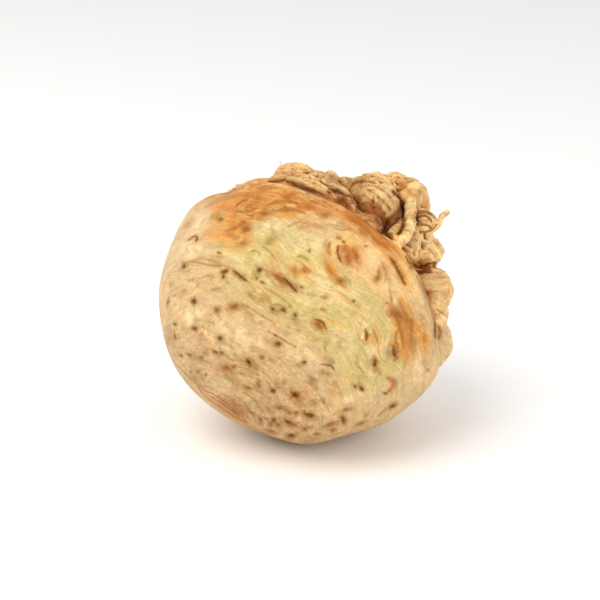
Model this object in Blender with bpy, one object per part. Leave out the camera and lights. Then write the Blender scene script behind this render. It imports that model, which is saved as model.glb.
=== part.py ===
"""Celeriac: the swollen foot of a celery plant, trimmed of its leaves and washed, lying on its side.

It grew as one piece, so it is one solid. The body is a nearly round ball. Its crown, where the leaves were
cut, faces down to the front left. Past a rim on the other side the ball falls back to the root end, a mass of
knuckled lobes with folds between them, flattened roots that lie along the skin, and the stumps of cut roots.

The forms are placed on the ball the way places are on a globe. The globe's axis runs from the crown, at
latitude -90, to the root end, at latitude 90. Longitude 0 is the side that faces the front.
Distances run from the ball's centre. All sizes are in metres and angles in degrees unless a name says so.
"""

import math
import random

import bmesh
import bpy
from mathutils import Matrix, Vector, noise

MM = 0.001
GOLDEN_SHARE = 0.618034  # of a full turn, from one place of a spiral to the next

# The ball
BODY_RADIUS = 60 * MM
BODY_CENTRE = Vector((-0.4, -2.0, 59.1)) * MM  # above the point midway under the whole celeriac
CROWN_FLATTENING = 0.045  # share of the radius that the crown lacks
CROWN_SHOULDER = (-50, -86)  # latitudes where the flattening starts and ends
ROOT_RECESS = 0.17  # share of the radius lost past the rim
RECESS_WIDTH = 11  # degrees past the rim over which the ball falls to it
RECESS_EASE = 14  # degrees more of it on the side where the rim is low
RIM_LATITUDE = 8
RIM_TILT = 8  # the rim isn't square to the axis: it lies this much higher on one side
RIM_HIGH_SIDE = -25  # longitude of that side
RIM_LIP = 0.012  # share of the radius that the lip stands proud
RIM_LIP_WIDTH = 6
WAVE_HEIGHT = 1.5 * MM  # broad unevenness of the ball
WAVE_FREQUENCY = 2.1
BUMP_HEIGHT = 0.7 * MM  # knobbliness of the shoulder next to the rim
BUMP_FREQUENCY = 5.5
BUMPY_FROM = (-25, 10)  # latitudes over which the bumps grow to their full height

# The way it lies: its root end points up to the back right
ROOT_END_AZIMUTH = 50
ROOT_END_ELEVATION = 32.5
TURN_ABOUT_AXIS = -138

# Low swellings of the ball's skin: longitude, latitude, half width in degrees, height in mm
SWELLINGS = (
    (-49, 7, 12, 1.4),
    (-69, 21, 16, -6.0),
    (-85, 3, 13, 2.8),
    (-100, -28, 28, 1.2),
    (143, -63, 18, -2.0),
    (113, -48, 11, 1.4),
    (103, -33, 14, -2.0),
    (1, 0, 11, 1.4),
    (-9, -15, 6, 1.2),
    (24, -2, 9, 1.0),
    (38, -6, 8, 0.8),
    (82, 2, 13, 2.6),
    (110, -4, 12, 1.8),
    (150, -10, 14, 1.6),
    (195, -2, 12, 1.8),
    (238, -8, 13, 1.4),
)

# Knuckled lobes of the root end: longitude, latitude, distance in mm,
# then half sizes in mm to the east, to the north and outwards, and the turn about the outward line
LOBES = (
    (-52, 36, 47.8, 11.6, 10.5, 12.0, 10),
    (-41, 49, 52.5, 4.4, 4.0, 4.2, 0),
    (-28, 29, 46.5, 13.0, 7.5, 8.5, 0),
    (3, 28, 46.5, 9.0, 8.0, 8.5, 0),
    (-19, 56, 54.5, 5.5, 3.0, 4.5, 35),
    (0, 48, 49.0, 12.5, 11.5, 11.5, 0),
    (-31, 59, 47.5, 8.0, 8.0, 9.0, 0),
    (-8, 62, 52.5, 10.5, 9.0, 11.5, 0),
    (21, 70, 59.8, 12.5, 11.5, 11.5, 0),
    (43, 44.5, 54.0, 9.0, 8.8, 8.2, 20),
    (35, 56, 60.0, 5.4, 4.8, 5.5, 20),
    (59, 32, 52.5, 11.0, 11.0, 11.0, 0),
    (71, 27, 52.0, 9.0, 9.0, 8.6, 0),
    (83, 18, 54.2, 11.5, 12.5, 11.2, 0),
    (72, 60, 51.0, 9.5, 9.5, 9.5, 0),
)
# The rest of the root end is filled with lobes by rule
FILL_COUNT = 46  # places tried, spread evenly from the rim to the root end's middle
FILL_ABOVE_RIM = 9  # degrees
FILL_APART = 12.5 * MM  # least distance to a lobe from the list above
FILL_DISTANCE = (45.5 * MM, 49 * MM)
FILL_SIZE = (9.5 * MM, 12.5 * MM)
FILL_JITTER = 5
FILL_SEED = 4
LOBE_UNEVENNESS = 0.22  # share of a lobe's half size
LOBE_FOLDS = 0.12
LOBE_FREQUENCY = 1.3
FOLD_FREQUENCY = 2.6
LOBE_APARTNESS = 40  # how far apart the unevenness of two lobes is drawn

# Roots that lie along the surface or stand off it, as a path of places, and the radius at each end in mm
ROOTS = (
    # flattened ridges along the rim, front
    (((3, 13, 58.6), (12, 13, 60.4), (21, 12, 60.6), (31, 10, 60.6), (43, 6.5, 60.4), (55, 2, 60.4),
      (68, -2, 60.6), (80, -4, 61), (90, -6, 60), (99, -8, 57.5)), 2.2, 1.8),
    (((9, 18, 57.0), (17, 17, 59.0), (26, 15, 59.4), (36, 12.5, 59.2), (46, 9.5, 59.0), (57, 6.5, 59.2),
      (69, 4, 59.6), (81, 1, 59.6), (92, -2, 58)), 2.4, 2.1),
    (((-46, 36, 54), (-39, 36, 55.6), (-32, 35, 55.4), (-24, 34, 54.6), (-17, 33, 53.4), (-8, 30, 50.5)),
     2.6, 2.3),
    (((-55, 21, 54.5), (-48, 21.5, 57), (-40, 21.5, 57.4), (-33, 21.5, 57), (-26, 21.5, 56.6),
      (-18, 22, 54.5)), 2.3, 1.9),
    # the bent root that crosses the folds
    (((16, 15, 55), (16, 20.5, 58.6), (17, 24.5, 60.8), (17, 28.5, 61.5), (16, 33.5, 62), (14.5, 41, 62.3),
      (14.5, 50, 62), (18, 60, 59)), 2.3, 2.2),
    # the cut stub tucked behind it
    (((18, 44, 52), (16, 36, 56.5), (13.6, 29, 57.9), (11.4, 22.7, 58.6)), 1.9, 1.9),
    # a short stub and the thin pointed root beside the bent root
    (((22, 44, 52), (26, 44.5, 57), (31, 44, 61.2)), 1.7, 1.6),
    (((42, 46, 53), (39.5, 50, 60), (40.9, 53.8, 64.7), (41.1, 57.1, 68.6), (42.2, 57.7, 72)), 1.6, 1.2),
)
# Ridges that follow the rim out of the front's sight:
# first and last longitude, degrees above the rim, distance and the radius at each end in mm
RIM_RIDGES = (
    (96, 190, 1, 59.4, 2.4, 2.0),
    (118, 226, 7, 56.6, 2.2, 1.8),
    (176, 268, 0, 59.6, 2.5, 1.9),
    (214, 290, 7, 55.8, 2.3, 1.8),
)
RIDGE_STEP = 9  # degrees of longitude
RIDGE_SWAY = 2.2  # degrees of latitude
RIDGE_END_SUNK = 3  # mm
ROOT_SIDES = 8
ROOT_STEP = 2.6 * MM
ROOT_KNOTS = 0.12  # share of a root's radius
KNOT_FREQUENCY = 350  # per metre

# Stumps of cut roots, spread over the side of the root end that the front doesn't show
STUMP_COUNT = 15
STUMP_LONGITUDES = (110, 262)
STUMP_LATITUDES = (18, 84)
STUMP_TIP = (58 * MM, 63 * MM)  # distance of a stump's cut end
STUMP_FOOT = 46 * MM  # distance at which a stump starts, well inside the lobes
STUMP_RADIUS = (1.7 * MM, 3.4 * MM)
STUMP_LEAN = 7 * MM
STUMP_FLARE = 1.15  # how much wider the foot is
STUMP_SEED = 11

SKIN_DIVISIONS = 34  # along each edge of the cube that the ball is rounded from
LOBE_DIVISIONS = 3
GRAIN = 0.85 * MM  # cell size at which the grown together forms are drawn as one skin
SKIN_SMOOTHING = 2
TRIANGLES = 10600

SKIN_COLOUR = (0.66, 0.47, 0.25, 1)
SKIN_ROUGHNESS = 0.62


def rise(start, end, value):
    """0 before start and 1 past end, with a smooth rise between."""
    share = min(1.0, max(0.0, (value - start) / (end - start)))
    return share * share * (3 - 2 * share)


def toward(longitude, latitude):
    """The unit vector from the ball's centre to a place on it."""
    across = math.cos(math.radians(latitude))
    return Vector((
        across * math.cos(math.radians(longitude)),
        across * math.sin(math.radians(longitude)),
        math.sin(math.radians(latitude)),
    ))


def rim_latitude(longitude):
    return RIM_LATITUDE + RIM_TILT * math.cos(math.radians(longitude - RIM_HIGH_SIDE))


def recess_width(longitude):
    low_side = (1 - math.cos(math.radians(longitude - RIM_HIGH_SIDE))) / 2
    return RECESS_WIDTH + RECESS_EASE * low_side ** 2


SWELLING_HEARTS = [(toward(lon, lat), width, height) for lon, lat, width, height in SWELLINGS]


def ball_reach(direction):
    """How far the ball's skin lies from its centre in this direction."""
    latitude = math.degrees(math.asin(max(-1.0, min(1.0, direction.z))))
    longitude = math.degrees(math.atan2(direction.y, direction.x))
    past_rim = latitude - rim_latitude(longitude)
    share = 1 - CROWN_FLATTENING * (1 - rise(CROWN_SHOULDER[1], CROWN_SHOULDER[0], latitude))
    share *= 1 - ROOT_RECESS * rise(0, recess_width(longitude), past_rim)
    share *= 1 + RIM_LIP * math.exp(-((past_rim / RIM_LIP_WIDTH) ** 2))
    reach = BODY_RADIUS * share
    reach += WAVE_HEIGHT * noise.noise(direction * WAVE_FREQUENCY)
    reach += BUMP_HEIGHT * noise.noise(direction * BUMP_FREQUENCY) * rise(*BUMPY_FROM, latitude)
    for heart, width, height in SWELLING_HEARTS:
        away = math.degrees(direction.angle(heart))
        reach += height * MM * math.exp(-((away / width) ** 2))
    return reach


def new_object(name, mesh, collection):
    obj = bpy.data.objects.new(name, mesh)
    collection.objects.link(obj)
    return obj


def mesh_from(name, shape):
    mesh = bpy.data.meshes.new(name)
    shape.to_mesh(mesh)
    shape.free()
    return mesh


def ball_mesh():
    """The ball: a cube cut into even squares, rounded, and pushed out to the skin."""
    shape = bmesh.new()
    bmesh.ops.create_cube(shape, size=2)
    bmesh.ops.subdivide_edges(shape, edges=shape.edges[:], cuts=SKIN_DIVISIONS - 1, use_grid_fill=True)
    for vertex in shape.verts:
        # Even angles rather than even steps keep the squares alike in size
        direction = Vector([math.tan(share * math.pi / 4) for share in vertex.co]).normalized()
        vertex.co = direction * ball_reach(direction)
    return mesh_from("ball", shape)


def lobe_mesh(lobe):
    """A knuckle: an uneven egg with shallow folds that run outwards."""
    longitude, latitude, distance, east, north, outward, turn = lobe
    out = toward(longitude, latitude)
    to_east = Vector((0, 0, 1)).cross(out).normalized()
    to_north = out.cross(to_east)
    axes = Matrix((to_east, to_north, out)).transposed() @ Matrix.Rotation(math.radians(turn), 3, "Z")
    half_sizes = Vector((east, north, outward)) * MM
    apart = out * LOBE_APARTNESS
    shape = bmesh.new()
    bmesh.ops.create_icosphere(shape, subdivisions=LOBE_DIVISIONS, radius=1)
    for vertex in shape.verts:
        unit = vertex.co.normalized()
        uneven = LOBE_UNEVENNESS * noise.noise(unit * LOBE_FREQUENCY + apart)
        folds = LOBE_FOLDS * abs(noise.noise(Vector((unit.x, unit.y, unit.z * 0.3)) * FOLD_FREQUENCY + apart))
        local = unit * (1 + uneven - folds)
        place = Vector([local[i] * half_sizes[i] for i in range(3)])
        vertex.co = out * distance * MM + axes @ place
    return mesh_from("lobe", shape)


def smooth_path(points, step):
    """Points every step or so along a smooth curve through the given ones."""
    ends = [points[0] * 2 - points[1], *points, points[-1] * 2 - points[-2]]
    path = []
    for before, start, end, after in zip(ends, ends[1:], ends[2:], ends[3:]):
        pieces = max(1, round((end - start).length / step))
        for piece in range(pieces):
            t = piece / pieces
            path.append(0.5 * (
                2 * start
                + (end - before) * t
                + (2 * before - 5 * start + 4 * end - after) * t ** 2
                + (3 * start - before - 3 * end + after) * t ** 3
            ))
    path.append(points[-1])
    return path


def root_mesh(points, first_radius, last_radius):
    """A root: a knotty tube that tapers along its path and ends in flat cuts."""
    path = smooth_path(points, ROOT_STEP)
    shape = bmesh.new()
    rings = []
    side = path[0].orthogonal()
    for index, centre in enumerate(path):
        ahead = path[min(index + 1, len(path) - 1)] - path[max(index - 1, 0)]
        ahead.normalize()
        side = (side - ahead * side.dot(ahead)).normalized()
        up = ahead.cross(side)
        share = index / (len(path) - 1)
        radius = first_radius + (last_radius - first_radius) * share
        ring = []
        for corner in range(ROOT_SIDES):
            angle = 2 * math.pi * corner / ROOT_SIDES
            outward = side * math.cos(angle) + up * math.sin(angle)
            knot = 1 + ROOT_KNOTS * noise.noise(centre * KNOT_FREQUENCY + outward)
            ring.append(shape.verts.new(centre + outward * radius * knot))
        rings.append(ring)
    for low, high in zip(rings, rings[1:]):
        for corner in range(ROOT_SIDES):
            after = (corner + 1) % ROOT_SIDES
            shape.faces.new((low[corner], low[after], high[after], high[corner]))
    shape.faces.new(reversed(rings[0]))
    shape.faces.new(rings[-1])
    bmesh.ops.recalc_face_normals(shape, faces=shape.faces[:])
    return mesh_from("root", shape)


def spread_places(count, longitudes, latitudes):
    """Places spread evenly over a belt of the ball, in a spiral."""
    low, high = [math.sin(math.radians(latitude)) for latitude in latitudes]
    for number in range(count):
        around = (number * GOLDEN_SHARE) % 1
        height = low + (high - low) * (number + 0.5) / count
        longitude = longitudes[0] + (longitudes[1] - longitudes[0]) * around
        yield longitude, math.degrees(math.asin(height))


def filling_lobes():
    """Lobes for the part of the root end that the list leaves bare."""
    draw = random.Random(FILL_SEED)
    taken = [toward(lobe[0], lobe[1]) * lobe[2] * MM for lobe in LOBES]
    for longitude, latitude in spread_places(FILL_COUNT, (0, 360), (RIM_LATITUDE, 90)):
        longitude += draw.uniform(-FILL_JITTER, FILL_JITTER)
        distance = draw.uniform(*FILL_DISTANCE)
        sizes = [draw.uniform(*FILL_SIZE) / MM for _ in range(3)]
        turn = draw.uniform(0, 180)
        centre = toward(longitude, latitude) * distance
        above_rim = latitude - rim_latitude(longitude)
        if above_rim > FILL_ABOVE_RIM and all((centre - other).length > FILL_APART for other in taken):
            yield (longitude, latitude, distance / MM, *sizes, turn)


def rim_ridge(first, last, above_rim, distance):
    """A path along the rim that sways a little."""
    steps = round((last - first) / RIDGE_STEP)
    path = []
    for step in range(steps + 1):
        longitude = first + (last - first) * step / steps
        sway = RIDGE_SWAY * noise.noise(Vector((longitude * 0.03, above_rim, 0.5)))
        sunk = RIDGE_END_SUNK if step in (0, steps) else 0
        path.append((longitude, rim_latitude(longitude) + above_rim + sway, distance - sunk))
    return path


def stumps():
    """The cut roots' paths and radii."""
    draw = random.Random(STUMP_SEED)
    for longitude, latitude in spread_places(STUMP_COUNT, STUMP_LONGITUDES, STUMP_LATITUDES):
        out = toward(longitude, latitude)
        lean = Vector([draw.uniform(-1, 1) for _ in range(3)]) * STUMP_LEAN
        foot = out * STUMP_FOOT
        tip = out * draw.uniform(*STUMP_TIP) + lean - out * lean.dot(out)
        middle = (foot + tip) / 2 - lean / 6
        radius = draw.uniform(*STUMP_RADIUS)
        yield [foot, middle, tip], radius * STUMP_FLARE, radius


def grown_forms():
    """The meshes of everything that stands out of the ball."""
    for lobe in [*LOBES, *filling_lobes()]:
        yield lobe_mesh(lobe)
    ridges = [(rim_ridge(*ridge[:4]), *ridge[4:]) for ridge in RIM_RIDGES]
    for places, first, last in [*ROOTS, *ridges]:
        points = [toward(lon, lat) * distance * MM for lon, lat, distance in places]
        yield root_mesh(points, first * MM, last * MM)
    for points, first, last in stumps():
        yield root_mesh(points, first, last)


def apply_modifiers(obj):
    bpy.context.view_layer.update()
    graph = bpy.context.evaluated_depsgraph_get()
    mesh = bpy.data.meshes.new_from_object(obj.evaluated_get(graph))
    obj.modifiers.clear()
    obj.data = mesh


def keep_largest_body(mesh):
    """Drop the loose scraps and fill the closed hollows that the forms left between them."""
    shape = bmesh.new()
    shape.from_mesh(mesh)
    bodies = []
    seen = set()
    for start in shape.verts:
        if start in seen:
            continue
        seen.add(start)
        body = [start]
        for vertex in body:
            for edge in vertex.link_edges:
                near = edge.other_vert(vertex)
                if near not in seen:
                    seen.add(near)
                    body.append(near)
        bodies.append(body)
    largest = max(bodies, key=len)
    for body in bodies:
        if body is not largest:
            bmesh.ops.delete(shape, geom=body, context="VERTS")
    shape.to_mesh(mesh)
    shape.free()


def lay_down(mesh):
    turn = (
        Matrix.Rotation(math.radians(ROOT_END_AZIMUTH), 4, "Z")
        @ Matrix.Rotation(math.radians(90 - ROOT_END_ELEVATION), 4, "Y")
        @ Matrix.Rotation(math.radians(TURN_ABOUT_AXIS), 4, "Z")
    )
    mesh.transform(Matrix.Translation(BODY_CENTRE) @ turn)


def cut_rest_spot(mesh):
    """The small flat that it lies on, at height 0."""
    shape = bmesh.new()
    shape.from_mesh(mesh)
    parts = shape.verts[:] + shape.edges[:] + shape.faces[:]
    cut = bmesh.ops.bisect_plane(
        shape, geom=parts, dist=1e-6, plane_co=(0, 0, 0), plane_no=(0, 0, -1), clear_outer=True
    )
    edges = [part for part in cut["geom_cut"] if isinstance(part, bmesh.types.BMEdge)]
    bmesh.ops.contextual_create(shape, geom=edges)
    shape.to_mesh(mesh)
    shape.free()


def skin_material():
    material = bpy.data.materials.new("celeriac_skin")
    material.use_nodes = True
    shader = material.node_tree.nodes["Principled BSDF"]
    shader.inputs["Base Color"].default_value = SKIN_COLOUR
    shader.inputs["Roughness"].default_value = SKIN_ROUGHNESS
    shader.inputs["Metallic"].default_value = 0
    material.diffuse_color = SKIN_COLOUR
    return material


def make_celeriac():
    scene = bpy.context.scene
    celeriac = new_object("celeriac", ball_mesh(), scene.collection)
    forms = bpy.data.collections.new("forms")
    scene.collection.children.link(forms)
    for mesh in grown_forms():
        new_object("form", mesh, forms)
    union = celeriac.modifiers.new("grown together", "BOOLEAN")
    union.operation = "UNION"
    union.operand_type = "COLLECTION"
    union.collection = forms
    union.solver = "EXACT"
    apply_modifiers(celeriac)
    for obj in list(forms.objects):
        bpy.data.objects.remove(obj)
    bpy.data.collections.remove(forms)
    skin = celeriac.modifiers.new("one skin", "REMESH")
    skin.mode = "VOXEL"
    skin.voxel_size = GRAIN
    soften = celeriac.modifiers.new("soft joins", "SMOOTH")
    soften.iterations = SKIN_SMOOTHING
    apply_modifiers(celeriac)
    keep_largest_body(celeriac.data)
    celeriac.data.calc_loop_triangles()
    fewer = celeriac.modifiers.new("fewer faces", "DECIMATE")
    fewer.ratio = TRIANGLES / len(celeriac.data.loop_triangles)
    fewer.use_collapse_triangulate = True
    apply_modifiers(celeriac)
    lay_down(celeriac.data)
    cut_rest_spot(celeriac.data)
    celeriac.data.materials.clear()
    celeriac.data.materials.append(skin_material())
    celeriac.data.shade_smooth()


for existing in list(bpy.data.objects):
    bpy.data.objects.remove(existing)
make_celeriac()
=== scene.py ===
"""The looks of a celeriac that lies on its side: its skin with pits, scars, streaks and stains, the knuckled
root end with its folds and rootlets, and the plain studio that it stands in.

The forms are placed on the ball the way places are on a globe. The globe's axis runs from the crown, at
latitude -90, to the root end, at latitude 90. Longitude 0 is the side that faces the front.
Marks that the front shows are placed where they show in the picture, in pixels of a square frame.
"""

import math
import random

import bmesh
import bpy
import numpy as np
from mathutils import Matrix, Vector, noise
from mathutils.bvhtree import BVHTree


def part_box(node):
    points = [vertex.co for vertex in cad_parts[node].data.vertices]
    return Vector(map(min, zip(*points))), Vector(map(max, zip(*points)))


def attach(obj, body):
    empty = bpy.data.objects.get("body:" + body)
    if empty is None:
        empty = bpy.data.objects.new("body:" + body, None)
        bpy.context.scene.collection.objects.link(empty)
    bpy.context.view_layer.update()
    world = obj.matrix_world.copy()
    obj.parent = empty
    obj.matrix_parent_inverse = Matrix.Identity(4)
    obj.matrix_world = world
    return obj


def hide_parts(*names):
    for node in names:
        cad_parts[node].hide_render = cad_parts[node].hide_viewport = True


bl_info = {
    "name": "Celeriac looks",
    "version": (1, 0, 0),
    "blender": (4, 5, 0),
    "location": "3D View > Sidebar > Celeriac",
    "description": "Dresses a celeriac with its skin and rootlets and sets it in a plain studio",
    "category": "Add Mesh",
}

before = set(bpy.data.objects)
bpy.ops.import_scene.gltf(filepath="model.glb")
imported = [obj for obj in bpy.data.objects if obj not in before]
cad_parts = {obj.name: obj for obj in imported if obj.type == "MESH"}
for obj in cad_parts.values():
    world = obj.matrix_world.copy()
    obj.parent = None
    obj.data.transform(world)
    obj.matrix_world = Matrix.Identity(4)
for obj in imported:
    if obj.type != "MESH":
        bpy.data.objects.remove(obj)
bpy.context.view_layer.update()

MM = 0.001
NODE = "celeriac"
BODY = "root"
SKIN_PIECE = "grown_skin"
GOLDEN_SHARE = 0.618034  # of a full turn, from one place of a spiral to the next

# The ball
BODY_RADIUS = 60 * MM
BODY_CENTRE = Vector((-0.4, -2.0, 59.1)) * MM
CROWN_FLATTENING = 0.045
CROWN_SHOULDER = (-50, -86)
ROOT_RECESS = 0.17
RECESS_WIDTH = 11
RECESS_EASE = 14
RIM_LATITUDE = 8
RIM_TILT = 8
RIM_HIGH_SIDE = -25
RIM_LIP = 0.012
RIM_LIP_WIDTH = 6
WAVE_HEIGHT = 1.5 * MM
WAVE_FREQUENCY = 2.1
BUMP_HEIGHT = 0.7 * MM
BUMP_FREQUENCY = 5.5
BUMPY_FROM = (-25, 10)
ROOT_END_AZIMUTH = 50
ROOT_END_ELEVATION = 32.5
TURN_ABOUT_AXIS = -138

# Low swellings: longitude, latitude, half width in degrees, height in mm
SWELLINGS = (
    (-49, 7, 12, 1.4),
    (-69, 21, 16, -6.0),
    (-85, 3, 13, 2.8),
    (-100, -28, 28, 1.2),
    (143, -63, 18, -2.0),
    (113, -48, 11, 1.4),
    (103, -33, 14, -2.0),
    (1, 0, 11, 1.4),
    (-9, -15, 6, 1.2),
    (24, -2, 9, 1.0),
    (38, -6, 8, 0.8),
    (82, 2, 13, 2.6),
    (110, -4, 12, 1.8),
    (150, -10, 14, 1.6),
    (195, -2, 12, 1.8),
    (238, -8, 13, 1.4),
)

# Knuckled lobes: longitude, latitude, distance in mm, half sizes to the east, to the north and outwards, turn
LOBES = (
    (-52, 36, 47.8, 11.6, 10.5, 12.0, 10),
    (-41, 49, 52.5, 4.4, 4.0, 4.2, 0),
    (-28, 29, 46.5, 13.0, 7.5, 8.5, 0),
    (3, 28, 46.5, 9.0, 8.0, 8.5, 0),
    (-19, 56, 54.5, 5.5, 3.0, 4.5, 35),
    (0, 48, 49.0, 12.5, 11.5, 11.5, 0),
    (-31, 59, 47.5, 8.0, 8.0, 9.0, 0),
    (-8, 62, 52.5, 10.5, 9.0, 11.5, 0),
    (21, 70, 59.8, 12.5, 11.5, 11.5, 0),
    (43, 44.5, 54.0, 9.0, 8.8, 8.2, 20),
    (35, 56, 60.0, 5.4, 4.8, 5.5, 20),
    (59, 32, 52.5, 11.0, 11.0, 11.0, 0),
    (71, 27, 52.0, 9.0, 9.0, 8.6, 0),
    (83, 18, 54.2, 11.5, 12.5, 11.2, 0),
    (72, 60, 51.0, 9.5, 9.5, 9.5, 0),
)
FILL_COUNT = 46
FILL_ABOVE_RIM = 9
FILL_APART = 12.5 * MM
FILL_DISTANCE = (45.5 * MM, 49 * MM)
FILL_SIZE = (9.5 * MM, 12.5 * MM)
FILL_JITTER = 5
FILL_SEED = 4
LOBE_UNEVENNESS = 0.22
LOBE_FOLDS = 0.12
LOBE_FREQUENCY = 1.3
FOLD_FREQUENCY = 2.6
LOBE_APARTNESS = 40

# Roots: a path of places, and the radius at each end in mm
ROOTS = (
    (((3, 13, 58.6), (12, 13, 60.4), (21, 12, 60.6), (31, 10, 60.6), (43, 6.5, 60.4), (55, 2, 60.4),
      (68, -2, 60.6), (80, -4, 61), (90, -6, 60), (99, -8, 57.5)), 2.2, 1.8),
    (((9, 18, 57.0), (17, 17, 59.0), (26, 15, 59.4), (36, 12.5, 59.2), (46, 9.5, 59.0), (57, 6.5, 59.2),
      (69, 4, 59.6), (81, 1, 59.6), (92, -2, 58)), 2.4, 2.1),
    (((-46, 36, 54), (-39, 36, 55.6), (-32, 35, 55.4), (-24, 34, 54.6), (-17, 33, 53.4), (-8, 30, 50.5)),
     2.6, 2.3),
    (((-55, 21, 54.5), (-48, 21.5, 57), (-40, 21.5, 57.4), (-33, 21.5, 57), (-26, 21.5, 56.6),
      (-18, 22, 54.5)), 2.3, 1.9),
    (((16, 15, 55), (16, 20.5, 58.6), (17, 24.5, 60.8), (17, 28.5, 61.5), (16, 33.5, 62), (14.5, 41, 62.3),
      (14.5, 50, 62), (18, 60, 59)), 2.3, 2.2),
    (((18, 44, 52), (16, 36, 56.5), (13.6, 29, 57.9), (11.4, 22.7, 58.6)), 1.9, 1.9),
    (((22, 44, 52), (26, 44.5, 57), (31, 44, 61.2)), 1.7, 1.6),
    (((42, 46, 53), (39.5, 50, 60), (40.9, 53.8, 64.7), (41.1, 57.1, 68.6), (42.2, 57.7, 72)), 1.6, 1.2),
    (((-43, 33, 52), (-36, 31, 53), (-30, 28.5, 52)), 4.0, 4.0),
)
RIM_RIDGES = (
    (96, 190, 1, 59.4, 2.4, 2.0),
    (118, 226, 7, 56.6, 2.2, 1.8),
    (176, 268, 0, 59.6, 2.5, 1.9),
    (214, 290, 7, 55.8, 2.3, 1.8),
)
RIDGE_STEP = 9
RIDGE_SWAY = 2.2
RIDGE_WAVES = 0.03  # to the degree
RIDGE_END_SUNK = 3
ROOT_SIDES = 16
ROOT_STEP = 0.8 * MM
ROOT_KNOTS = 0.12
KNOT_FREQUENCY = 350

STUMP_COUNT = 15
STUMP_LONGITUDES = (110, 262)
STUMP_LATITUDES = (18, 84)
STUMP_TIP = (58 * MM, 63 * MM)
STUMP_FOOT = 46 * MM
STUMP_RADIUS = (1.7 * MM, 3.4 * MM)
STUMP_LEAN = 7 * MM
STUMP_FLARE = 1.15
STUMP_SEED = 11

# The picture: a square frame, and where the ball's centre shows in it
FRAME_PIXELS = 600
CENTRE_PIXEL = (305, 303)
PIXEL_SIZE = 0.421 * MM  # at the ball's centre
CAMERA_ELEVATION = 20
CAMERA_DISTANCE = 0.9

# How each kind of mark changes the skin: its depth in mm, below zero where the skin is sunk, how far out that
# reaches, and its layers: mask, strength, and the shares of the mark's half size out to which the layer is at
# its full strength and at which it is gone
MARK_KINDS = {
    "pit": (-0.55, 1.3, (("dark", 1.0, 0.5, 1.4), ("rust", 0.75, 0.4, 2.3), ("olive", 0.65, 0.9, 3.4))),
    "dot": (-0.3, 1.2, (("dark", 0.85, 0.2, 1.5), ("olive", 0.75, 0.6, 2.8))),
    "brown": (-0.2, 1.3, (("dark", 0.6, 0.0, 1.0), ("rust", 0.9, 0.0, 1.8), ("olive", 0.6, 0.6, 2.8))),
    "stain": (0.0, 1.0, (("rust", 0.85, 0.0, 2.0),)),
    "smudge": (0.0, 1.0, (("olive", 0.75, 0.0, 1.9),)),
    "fleck": (-0.05, 1.0, (("olive", 0.5, 0.0, 1.6),)),
    "glow": (0.0, 1.0, (("glow", 0.85, 0.0, 2.0),)),
    "blush": (0.0, 1.0, (("pink", 0.6, 0.0, 1.8),)),
    # Pale patches, some of them painted highlights where the light falls brightest
    "cloud": (0.0, 1.0, (("pale", 0.5, 0.0, 1.9),)),
    "haze": (0.0, 1.0, (("rust", 0.45, 0.0, 2.0),)),
    # Brown along the folds, with painted shade in them
    "earth": (-0.2, 1.2, (("rust", 0.95, 0.4, 1.9), ("crevice", 0.35, 0.0, 1.4))),
    "gleam": (0.1, 1.2, (("pale", 0.6, 0.2, 1.4),)),
    "crack": (-0.5, 1.6, (("dark", 1.0, 0.3, 1.2), ("rust", 0.75, 0.3, 3.4), ("olive", 0.45, 1.0, 5.0))),
    "line": (-0.15, 1.5, (("olive", 0.8, 0.0, 2.4),)),
    "scar": (-0.3, 1.5, (("rust", 0.8, 0.0, 2.2), ("olive", 0.45, 1.0, 3.6))),
    "welt": (0.2, 1.8, (("pale", 0.35, 0.2, 1.5),)),
}

# How far noise shifts the border of a mark, as a share, and the noise's waves to the mm
EDGE_UNEVENNESS = 0.5
EDGE_WAVES = 0.7

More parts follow.
